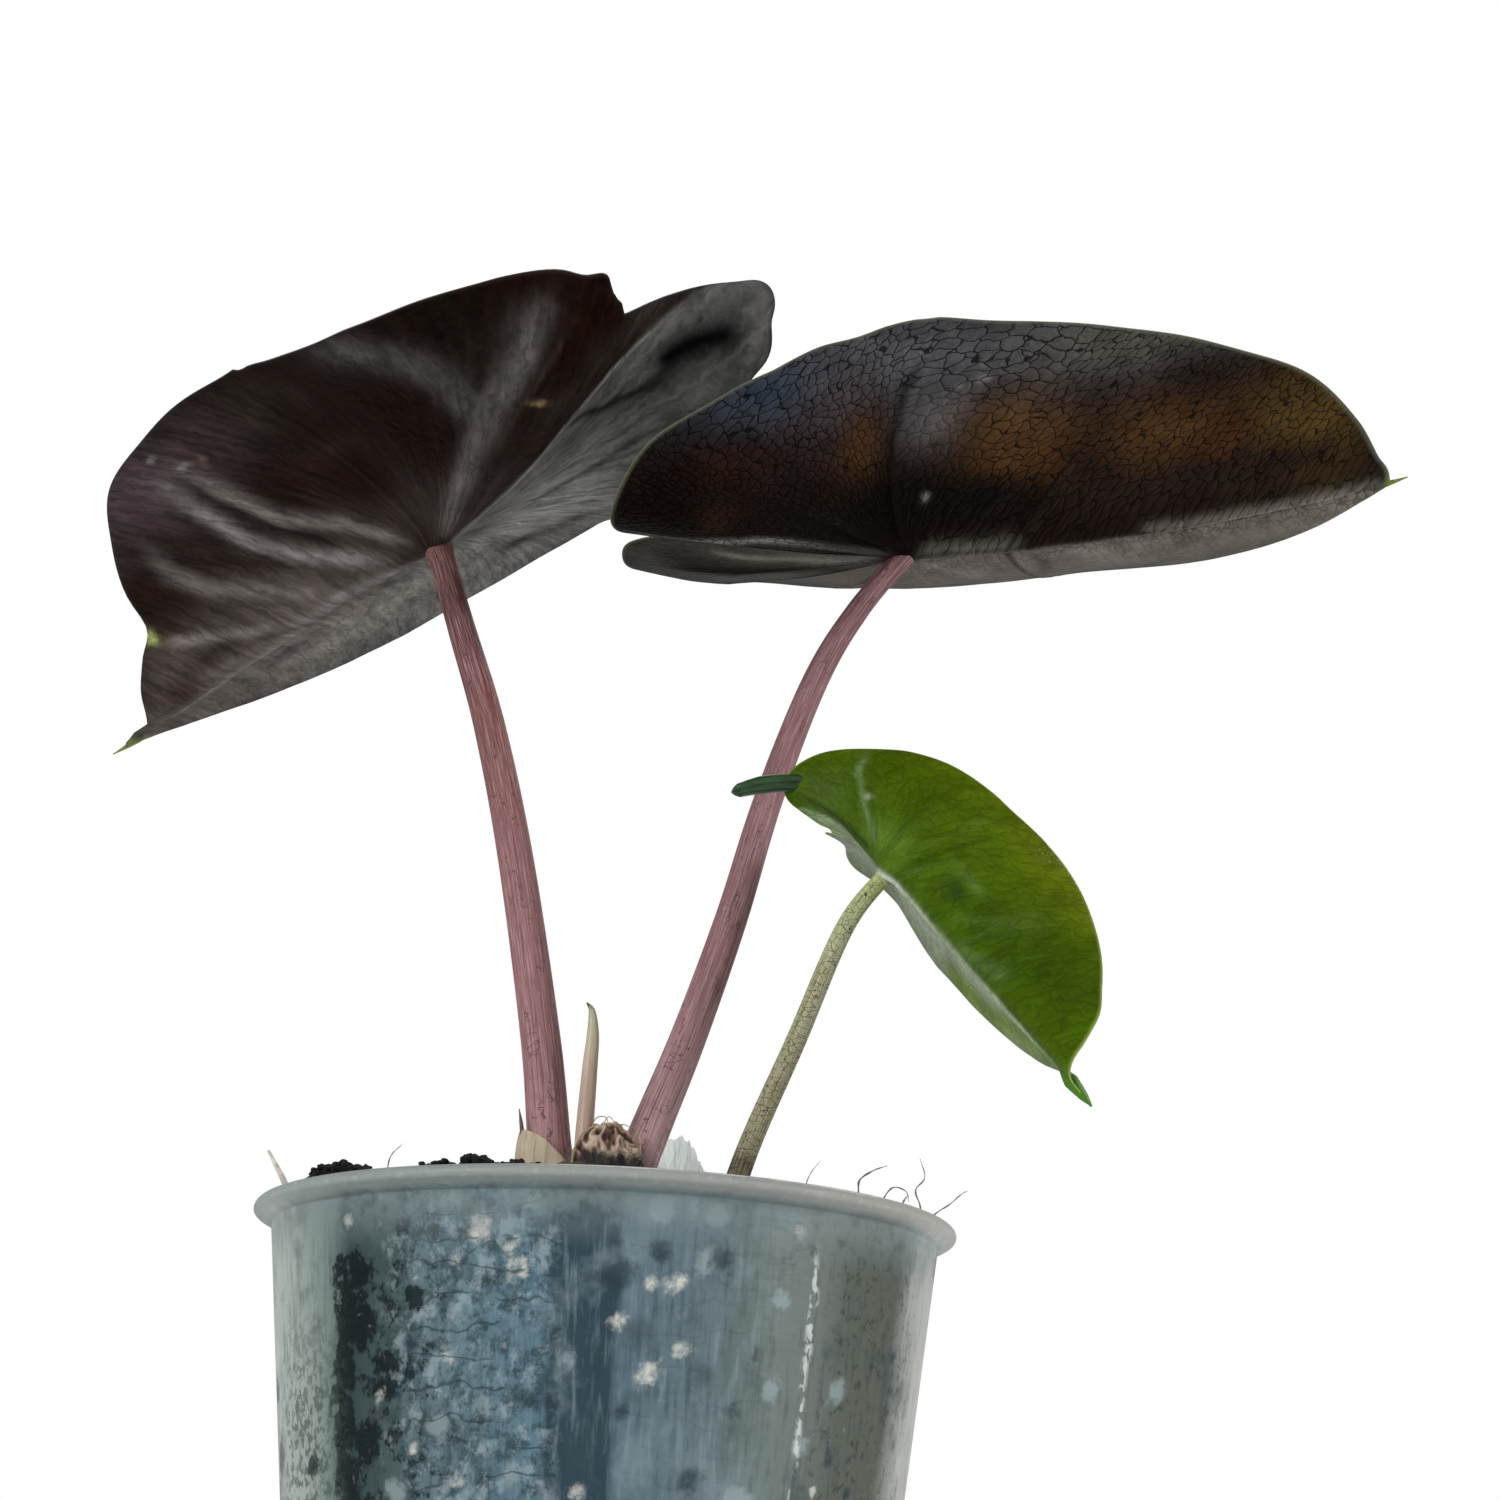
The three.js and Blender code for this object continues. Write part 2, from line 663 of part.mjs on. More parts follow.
// A cup turned from one profile: flat floor, straight wall and a lip that curls out.
function potSolid() {
  const top = pot.rimRadius - pot.lipOverhang;
  const lipLow = pot.height - pot.lipHeight;
  const floorRadius = wallRadiusAt(pot.wall) - pot.wall;
  const profile = [
    [0, 0],
    [pot.baseRadius - pot.footRound, 0],
    [pot.baseRadius, pot.footRound],
    [top, lipLow],
    [pot.rimRadius - 0.7, lipLow - 0.2],
    [pot.rimRadius, lipLow + 0.8],
    [pot.rimRadius - 0.15, pot.height - 0.9],
    [pot.rimRadius - 1, pot.height],
    [top, pot.height],
    [top - 0.8, pot.height - 0.6],
    [top - pot.wall, lipLow - 0.5],
    [floorRadius, pot.wall],
    [0, pot.wall],
  ];
  const turned = new THREE.LatheGeometry(profile.map(([r, z]) => new THREE.Vector2(r, z)), pot.sides);
  turned.rotateX(Math.PI / 2);
  let cup = toSolid(turned);
  for (let i = 0; i < pot.drainHoles; i += 1) {
    const angle = (2 * Math.PI * i) / pot.drainHoles;
    const hole = new THREE.CylinderGeometry(pot.drainHoleRadius, pot.drainHoleRadius, 4 * pot.wall, 12);
    hole.rotateX(Math.PI / 2);
    hole.translate(pot.drainHoleCircle * Math.cos(angle), pot.drainHoleCircle * Math.sin(angle), 0);
    cup = cup.subtract(toSolid(hole));
  }
  return cup;
}

// Assembly

const finishes = {
  plastic: { color: 0xa9b8bc, roughness: 0.35, metalness: 0, transparent: true, opacity: 0.55 },
  soil: { color: 0x2b231d, roughness: 0.95, metalness: 0 },
  husk: { color: 0x8a6a4d, roughness: 0.85, metalness: 0 },
  pinkStem: { color: 0x9d6670, roughness: 0.55, metalness: 0 },
  paleStem: { color: 0xb3b382, roughness: 0.55, metalness: 0 },
  darkLeaf: { color: 0x2e1f22, roughness: 0.45, metalness: 0 },
  greenLeaf: { color: 0x4d7a1e, roughness: 0.45, metalness: 0 },
  shoot: { color: 0xc3a08f, roughness: 0.5, metalness: 0 },
  root: { color: 0xd9d4c4, roughness: 0.6, metalness: 0 },
};

const plant = new THREE.Group();
plant.name = 'potted_alocasia';

function place(name, geometry, finish, frame) {
  const mesh = new THREE.Mesh(geometry, new THREE.MeshStandardMaterial(finish));
  mesh.name = name;
  if (frame) frame.decompose(mesh.position, mesh.quaternion, mesh.scale);
  plant.add(mesh);
}

const stemOf = (side, grow) => toSolid(stemGeometry(stems[side], leaves[side], grow));

place('pot', toGeometry(potSolid()), finishes.plastic);

const soilSolid = join([soilPlug(), ...crumbSolids(), ...rootletSolids()])
  .subtract(crownBody(gap))
  .subtract(stemOf('small', gap))
  .subtract(toSolid(taperedGeometry(rootTip, gap)));
place('soil', toGeometry(mainPiece(soilSolid, tolerance.soil)), finishes.soil);

const crownSolid = join([crownBody(), ...sheaths.map(sheathSolid)])
  .subtract(stemOf('left', gap))
  .subtract(stemOf('right', gap))
  .subtract(toSolid(taperedGeometry(shoot, gap)));
place('crown', toGeometry(mainPiece(crownSolid, tolerance.crown)), finishes.husk);

place('stem_left', stemGeometry(stems.left, leaves.left), finishes.pinkStem);
place('stem_right', stemGeometry(stems.right, leaves.right), finishes.pinkStem);
place('stem_small', stemGeometry(stems.small, leaves.small), finishes.paleStem);
place('shoot', taperedGeometry(shoot), finishes.shoot);
place('root_tip', taperedGeometry(rootTip), finishes.root);

const leafLeft = makeLeaf(leaves.left);
const leafRight = makeLeaf(leaves.right);
const leafSmall = makeLeaf(leaves.small, [taperedGeometry(rolledTail)]);
place('leaf_left', leafLeft.geometry, finishes.darkLeaf, leafLeft.frame);
place('leaf_right', leafRight.geometry, finishes.darkLeaf, leafRight.frame);
place('leaf_small', leafSmall.geometry, finishes.greenLeaf, leafSmall.frame);

export default plant;
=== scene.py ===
# Potted alocasia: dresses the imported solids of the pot, the soil, the crown, the stems and the leaves.
# Shapes are worked out in millimetres and put into the meshes in metres.
import itertools
import bpy
import numpy as np
from mathutils import Matrix, Vector
from mathutils.geometry import delaunay_2d_cdt


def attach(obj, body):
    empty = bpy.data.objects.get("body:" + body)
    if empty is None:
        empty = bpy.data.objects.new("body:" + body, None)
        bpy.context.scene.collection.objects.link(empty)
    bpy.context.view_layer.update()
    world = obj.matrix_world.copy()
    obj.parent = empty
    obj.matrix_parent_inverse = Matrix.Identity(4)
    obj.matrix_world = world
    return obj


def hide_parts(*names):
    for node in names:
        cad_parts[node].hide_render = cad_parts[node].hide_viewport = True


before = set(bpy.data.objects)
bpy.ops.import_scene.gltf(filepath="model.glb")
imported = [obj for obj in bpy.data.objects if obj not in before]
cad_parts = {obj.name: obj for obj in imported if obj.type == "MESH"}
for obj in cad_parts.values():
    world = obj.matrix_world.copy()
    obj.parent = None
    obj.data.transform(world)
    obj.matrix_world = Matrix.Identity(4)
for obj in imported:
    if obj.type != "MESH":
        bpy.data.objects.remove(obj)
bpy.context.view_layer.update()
print("frame loaded with", len(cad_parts), "nodes")

# Camera, floor and light

cameraView = {
    "place": (0.0, -400.0, 32.0),
    "turn": 2.58,  # degrees to the right of straight ahead
    "lift": 18.0,
    "roll": 2.12,
    "lens": 66.58,
}


def cameraAxes(view):
    turn, lift, roll = np.radians([view["turn"], view["lift"], view["roll"]])
    ahead = np.array([np.sin(turn) * np.cos(lift), np.cos(turn) * np.cos(lift), np.sin(lift)])
    level = np.array([np.cos(turn), -np.sin(turn), 0.0])
    upright = np.cross(level, ahead)
    right = np.cos(roll) * level + np.sin(roll) * upright
    up = np.cos(roll) * upright - np.sin(roll) * level
    return right, up, -ahead


def makeCamera(view):
    data = bpy.data.cameras.new("photoCamera")
    data.sensor_width = 36.0
    data.lens = view["lens"]
    data.clip_start = 0.01
    data.clip_end = 20.0
    camera = bpy.data.objects.new("photoCamera", data)
    bpy.context.collection.objects.link(camera)
    matrix = Matrix.Identity(4)
    for column, axis in enumerate(cameraAxes(view)):
        for row in range(3):
            matrix[row][column] = axis[row]
    for row in range(3):
        matrix[row][3] = view["place"][row] * 0.001
    camera.matrix_world = matrix
    bpy.context.scene.camera = camera


studio = {
    "backdrop": 1.0,  # brightness that the camera sees behind the plant
    "skyStrength": 0.4,  # brightness of the soft light from all round
    "floorSize": 1.2,
    "floorColour": (0.86, 0.86, 0.85),
    # each light: place in metres, size, power in watts
    "lights": {
        "keySoftbox": ((-0.9, -0.8, 0.55), 0.6, 12.0),
        "fillSoftbox": ((0.95, -0.5, 0.3), 0.5, 8.0),
        "topSoftbox": ((0.2, 0.5, 1.0), 0.8, 9.0),
    },
    "aim": (0.0, 0.0, 0.15),
}


def makeStudio(setup):
    world = bpy.data.worlds.new("whiteRoom")
    world.use_nodes = True
    background = world.node_tree.nodes["Background"]
    background.inputs["Color"].default_value = (1.0, 1.0, 1.0, 1.0)
    rays = world.node_tree.nodes.new("ShaderNodeLightPath")
    strength = world.node_tree.nodes.new("ShaderNodeMapRange")
    strength.inputs["To Min"].default_value = setup["skyStrength"]
    strength.inputs["To Max"].default_value = setup["backdrop"]
    world.node_tree.links.new(rays.outputs["Is Camera Ray"], strength.inputs["Value"])
    world.node_tree.links.new(strength.outputs["Result"], background.inputs["Strength"])
    bpy.context.scene.world = world
    bpy.context.scene.view_settings.view_transform = "Standard"
    for name, (place, size, power) in setup["lights"].items():
        data = bpy.data.lights.new(name, "AREA")
        data.shape = "DISK"
        data.size = size
        data.energy = power
        light = bpy.data.objects.new(name, data)
        bpy.context.collection.objects.link(light)
        light.location = place
        light.rotation_mode = "QUATERNION"
        light.rotation_quaternion = (Vector(place) - Vector(setup["aim"])).to_track_quat("Z", "Y")


def makeFloor(setup):
    half = setup["floorSize"] / 2
    mesh = bpy.data.meshes.new("paleFloor")
    mesh.from_pydata([(-half, -half, 0), (half, -half, 0), (half, half, 0), (-half, half, 0)], [],
                     [(0, 1, 2, 3)])
    material = bpy.data.materials.new("floorPaint")
    material.use_nodes = True
    tree = material.node_tree
    shader = tree.nodes["Principled BSDF"]
    shader.inputs["Roughness"].default_value = 0.8
    mottle = tree.nodes.new("ShaderNodeTexNoise")
    mottle.inputs["Scale"].default_value = 4.0
    mix = tree.nodes.new("ShaderNodeMix")
    mix.data_type = "RGBA"
    tree.links.new(mottle.outputs["Fac"], mix.inputs[0])
    mix.inputs[6].default_value = (*setup["floorColour"], 1.0)
    mix.inputs[7].default_value = (*[0.96 * part for part in setup["floorColour"]], 1.0)
    tree.links.new(mix.outputs[2], shader.inputs["Base Color"])
    mesh.materials.append(material)
    floor = bpy.data.objects.new("paleFloor", mesh)
    bpy.context.collection.objects.link(floor)


makeCamera(cameraView)
makeStudio(studio)
makeFloor(studio)
print("camera, floor and lights made")

# Mesh and number helpers


def buildPiece(name, points, faceSets, materials, fields=None, colours=None):
    # points in mm; each face set is (rows of corner numbers, material number); a colour has four parts
    mesh = bpy.data.meshes.new(name)
    mesh.vertices.add(len(points))
    mesh.vertices.foreach_set("co", (points * 0.001).astype(np.float32).ravel())
    corners = np.concatenate([rows.ravel() for rows, _ in faceSets]).astype(np.int32)
    sizes = np.concatenate([np.full(len(rows), rows.shape[1]) for rows, _ in faceSets])
    materialOf = np.concatenate([np.full(len(rows), number) for rows, number in faceSets])
    mesh.loops.add(len(corners))
    mesh.loops.foreach_set("vertex_index", corners)
    mesh.polygons.add(len(sizes))
    mesh.polygons.foreach_set("loop_start", (np.cumsum(sizes) - sizes).astype(np.int32))
    mesh.polygons.foreach_set("material_index", materialOf.astype(np.int32))
    mesh.update(calc_edges=True)
    for key, values in (fields or {}).items():
        mesh.attributes.new(key, "FLOAT_VECTOR", "POINT").data.foreach_set(
            "vector", values.astype(np.float32).ravel())
    for key, values in (colours or {}).items():
        mesh.attributes.new(key, "FLOAT_COLOR", "POINT").data.foreach_set(
            "color", values.astype(np.float32).ravel())
    mesh.shade_smooth()
    for material in materials:
        mesh.materials.append(material)
    piece = bpy.data.objects.new(name, mesh)
    bpy.context.collection.objects.link(piece)
    return piece


def gridFaces(rows, columns, start=0, closed=True, flip=False):
    # quads between neighbouring rows of a grid; closed joins the last column to the first
    wide = columns if closed else columns - 1
    row, column = np.meshgrid(np.arange(rows - 1), np.arange(wide), indexing="ij")
    a = start + row * columns + column
    b = start + row * columns + (column + 1) % columns
    quads = np.stack([a, b, b + columns, a + columns], axis=-1).reshape(-1, 4)
    return quads[:, ::-1] if flip else quads


def fanFaces(centre, first, count, flip=False):
    # triangles from one centre point to a closed ring of points
    ring = first + np.arange(count)
    after = first + (np.arange(count) + 1) % count
    fan = np.stack([np.full(count, centre), ring, after], axis=-1)
    return fan[:, ::-1] if flip else fan


def closedFaces(rows, columns, flip=False):
    # a grid of rings and a fan on each end; the middle points of the two ends follow the grid
    count = rows * columns
    return [
        (gridFaces(rows, columns, flip=flip), 0),
        (fanFaces(count, 0, columns, flip=not flip), 0),
        (fanFaces(count + 1, count - columns, columns, flip=flip), 0),
    ]


def onCircle(radius, turn, z):
    # points round the upright axis: radius * cosine, radius * sine, height
    return np.stack(np.broadcast_arrays(radius * np.cos(turn), radius * np.sin(turn), z), axis=-1)


def turnedAbout(points, angle):
    # the points turned about the upright axis, each by its own angle
    cosine, sine = np.cos(angle), np.sin(angle)
    return np.stack([points[..., 0] * cosine - points[..., 1] * sine,
                     points[..., 0] * sine + points[..., 1] * cosine, points[..., 2]], axis=-1)


def asField(values):
    # one number for each point, as a field of three
    return np.repeat(values[:, None], 3, axis=1)


def between(pair, share):
    return pair[0] + (pair[1] - pair[0]) * share


def smoothStep(value):
    t = np.clip(value, 0.0, 1.0)
    return t * t * (3.0 - 2.0 * t)


def latticeNoise(points, seed=0):
    # value noise from -1 to 1: random numbers on whole-number corners, blended smoothly in between
    base = np.floor(points).astype(np.int64)
    part = points - base
    part = part * part * (3.0 - 2.0 * part)
    total = np.zeros(len(points))
    for corner in itertools.product((0, 1), repeat=points.shape[1]):
        spot = base + np.array(corner)
        mixed = (spot * np.array([374761393, 668265263, 1442695041])[:points.shape[1]]).sum(axis=1)
        mixed = (mixed + seed * 974634777) & 0x7FFFFFFF
        mixed = ((mixed ^ (mixed >> 13)) * 1274126177) & 0x7FFFFFFF
        value = ((mixed ^ (mixed >> 16)) & 0xFFFF) / 65535.0
        total += value * np.prod(np.where(corner, part, 1.0 - part), axis=1)
    return 2.0 * total - 1.0


def layeredNoise(points, seed=0, layers=3):
    # each layer of noise is twice as fine and half as strong as the one before
    total = sum(latticeNoise(points * 2 ** i, seed + i) / 2 ** i for i in range(layers))
    return total / sum(1 / 2 ** i for i in range(layers))


def curvePoints(knots, perSpan):
    # a smooth curve through the knots; each span is the cubic with half the neighbours' difference as slope
    knots = np.asarray(knots, float)
    padded = np.vstack([2 * knots[0] - knots[1], knots, 2 * knots[-1] - knots[-2]])
    before, start, end, after = (padded[i:len(padded) - 3 + i, None, :] for i in range(4))
    t = np.linspace(0, 1, perSpan, endpoint=False)[None, :, None]
    spans = 0.5 * (2 * start + (end - before) * t + (2 * before - 5 * start + 4 * end - after) * t ** 2
                   + (3 * start - before - 3 * end + after) * t ** 3)
    return np.vstack([spans.reshape(-1, knots.shape[1]), knots[-1:]])


def polylineDistance(x, y, line):
    # distance in the flat leaf from each point to a drawn line, positive to the left of the way it is drawn,
    # and how far along the line that is, 0 to 1
    line = np.asarray(line, float)
    best = np.full(x.shape, 1e9)
    along = np.zeros(x.shape)
    for i, ((ax, ay), (bx, by)) in enumerate(zip(line[:-1], line[1:])):
        run = np.hypot(bx - ax, by - ay)
        t = np.clip(((x - ax) * (bx - ax) + (y - ay) * (by - ay)) / run ** 2, 0, 1)
        away = np.hypot(x - ax - t * (bx - ax), y - ay - t * (by - ay))
        left = (bx - ax) * (y - ay) > (by - ay) * (x - ax)
        closer = away < np.abs(best)
        best = np.where(closer, np.where(left, away, -away), best)
        along = np.where(closer, (i + t) / (len(line) - 1), along)
    return best, along


def tubeSkin(centres, radii, sides, wobble=None):
    # a closed tube: rings square to the way the centres run, each point out by its radius, a fan on each end
    along = np.gradient(centres, axis=0)
    along /= np.linalg.norm(along, axis=1, keepdims=True)
    across = np.cross(np.array([0.0, 1.0, 0.02]), along)
    across /= np.linalg.norm(across, axis=1, keepdims=True)
    up = np.cross(along, across)
    angle = np.linspace(0, 2 * np.pi, sides, endpoint=False)
    reach = np.broadcast_to(np.asarray(radii, float)[:, None], (len(centres), sides))
    if wobble is not None:
        reach = reach * (1 + wobble(angle[None, :], np.linspace(0, 1, len(centres))[:, None]))
    rings = centres[:, None] + reach[..., None] * (
        np.cos(angle)[None, :, None] * across[:, None] + np.sin(angle)[None, :, None] * up[:, None])
    points = np.vstack([rings.reshape(-1, 3), centres[:1], centres[-1:]])
    return points, closedFaces(len(centres), sides)


def dress(piece, node):
    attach(piece, "root")
    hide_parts(node)


# Material helpers


def newMaterial(name, **values):
    material = bpy.data.materials.new(name)
    material.use_nodes = True
    tree = material.node_tree
    shader = tree.nodes["Principled BSDF"]
    for socket, value in values.items():
        shader.inputs[socket.replace("_", " ")].default_value = value
    return material, tree, shader


def addNode(tree, kind, values, **settings):
    node = tree.nodes.new("ShaderNode" + kind)
    for key, value in settings.items():
        setattr(node, key, value)
    for socket, value in values.items():
        if isinstance(value, bpy.types.NodeSocket):
            tree.links.new(value, node.inputs[socket])
        else:
            node.inputs[socket].default_value = value
    return node


def calculate(tree, operation, first, second=0.0, third=0.0, clamp=False):
    values = {0: first, 1: second, 2: third}
    return addNode(tree, "Math", values, operation=operation, use_clamp=clamp).outputs[0]


def times(tree, first, second):
    return calculate(tree, "MULTIPLY", first, second)


def plus(tree, first, second):
    return calculate(tree, "ADD", first, second)


def larger(tree, first, second):
    return calculate(tree, "MAXIMUM", first, second)


def scaled(tree, value, factor, offset):
    # value * factor + offset
    return calculate(tree, "MULTIPLY_ADD", value, factor, offset)


def softEdge(tree, value, low, high, outLow=0.0, outHigh=1.0):
    values = {"Value": value, "From Min": low, "From Max": high, "To Min": outLow, "To Max": outHigh}
    return addNode(tree, "MapRange", values, interpolation_type="SMOOTHSTEP").outputs["Result"]


def mixColours(tree, factor, first, second, blend="MIX"):
    # a colour is a socket or three numbers
    first, second = ((*paint, 1.0) if isinstance(paint, tuple) else paint for paint in (first, second))
    values = {"Factor": factor, 6: first, 7: second}
    return addNode(tree, "Mix", values, data_type="RGBA", blend_type=blend).outputs[2]


def overlay(tree, colour, mask, paint, strength=1.0):
    # lays the paint over the colour where the mask is 1
    factor = times(tree, mask, strength)
    return mixColours(tree, factor, colour, paint)


def shaded(colour, factor):
    return tuple(factor * part for part in colour)


def placeOf(tree, attribute=None):
    if attribute:
        return addNode(tree, "Attribute", {}, attribute_name=attribute).outputs["Vector"]
    return addNode(tree, "TexCoord", {}).outputs["Object"]


def stretched(tree, vector, scale, shift=(0.0, 0.0, 0.0)):
    return addNode(tree, "Mapping", {"Vector": vector, "Scale": scale, "Location": shift}).outputs["Vector"]


def split(tree, vector):
    return addNode(tree, "SeparateXYZ", {"Vector": vector}).outputs


def joined(tree, x, y, z=0.0):
    return addNode(tree, "CombineXYZ", {"X": x, "Y": y, "Z": z}).outputs["Vector"]


def cloudy(tree, vector, scale, detail=3.0, roughness=0.55):
    values = {"Vector": vector, "Scale": scale, "Detail": detail, "Roughness": roughness}
    return addNode(tree, "TexNoise", values).outputs["Fac"]


def cells(tree, vector, scale, feature="DISTANCE_TO_EDGE"):
    values = {"Vector": vector, "Scale": scale, "Randomness": 0.85}
    return addNode(tree, "TexVoronoi", values, feature=feature).outputs["Distance"]


def colourStops(tree, value, stops):
    node = addNode(tree, "ValToRGB", {"Fac": value})
    elements = node.color_ramp.elements
    while len(elements) < len(stops):
        elements.new(1.0)
    for element, (place, colour) in zip(elements, stops):
        element.position = place
        element.color = (*colour, 1.0)
    return node.outputs["Color"]


def roughen(tree, shader, height, distance, strength=1.0):
    bump = addNode(tree, "Bump", {"Height": height, "Distance": distance, "Strength": strength})
    tree.links.new(bump.outputs["Normal"], shader.inputs["Normal"])


# Leaves. The flat leaf has x along the midrib from the joint and y to the leaf's own left, in mm.
# front, drip and lobes are lengths, pairs are the left and the right half, angles are in degrees.

leafParts = {
    "rings": 84,
    "stepsPerKnot": 15,
    "halfThickness": (0.26, 0.11),  # at the middle and at the margin
    "ribAngle": 63.4,
    "ribCurl": 0.25,
    "lobeRibSlope": 0.3,
}

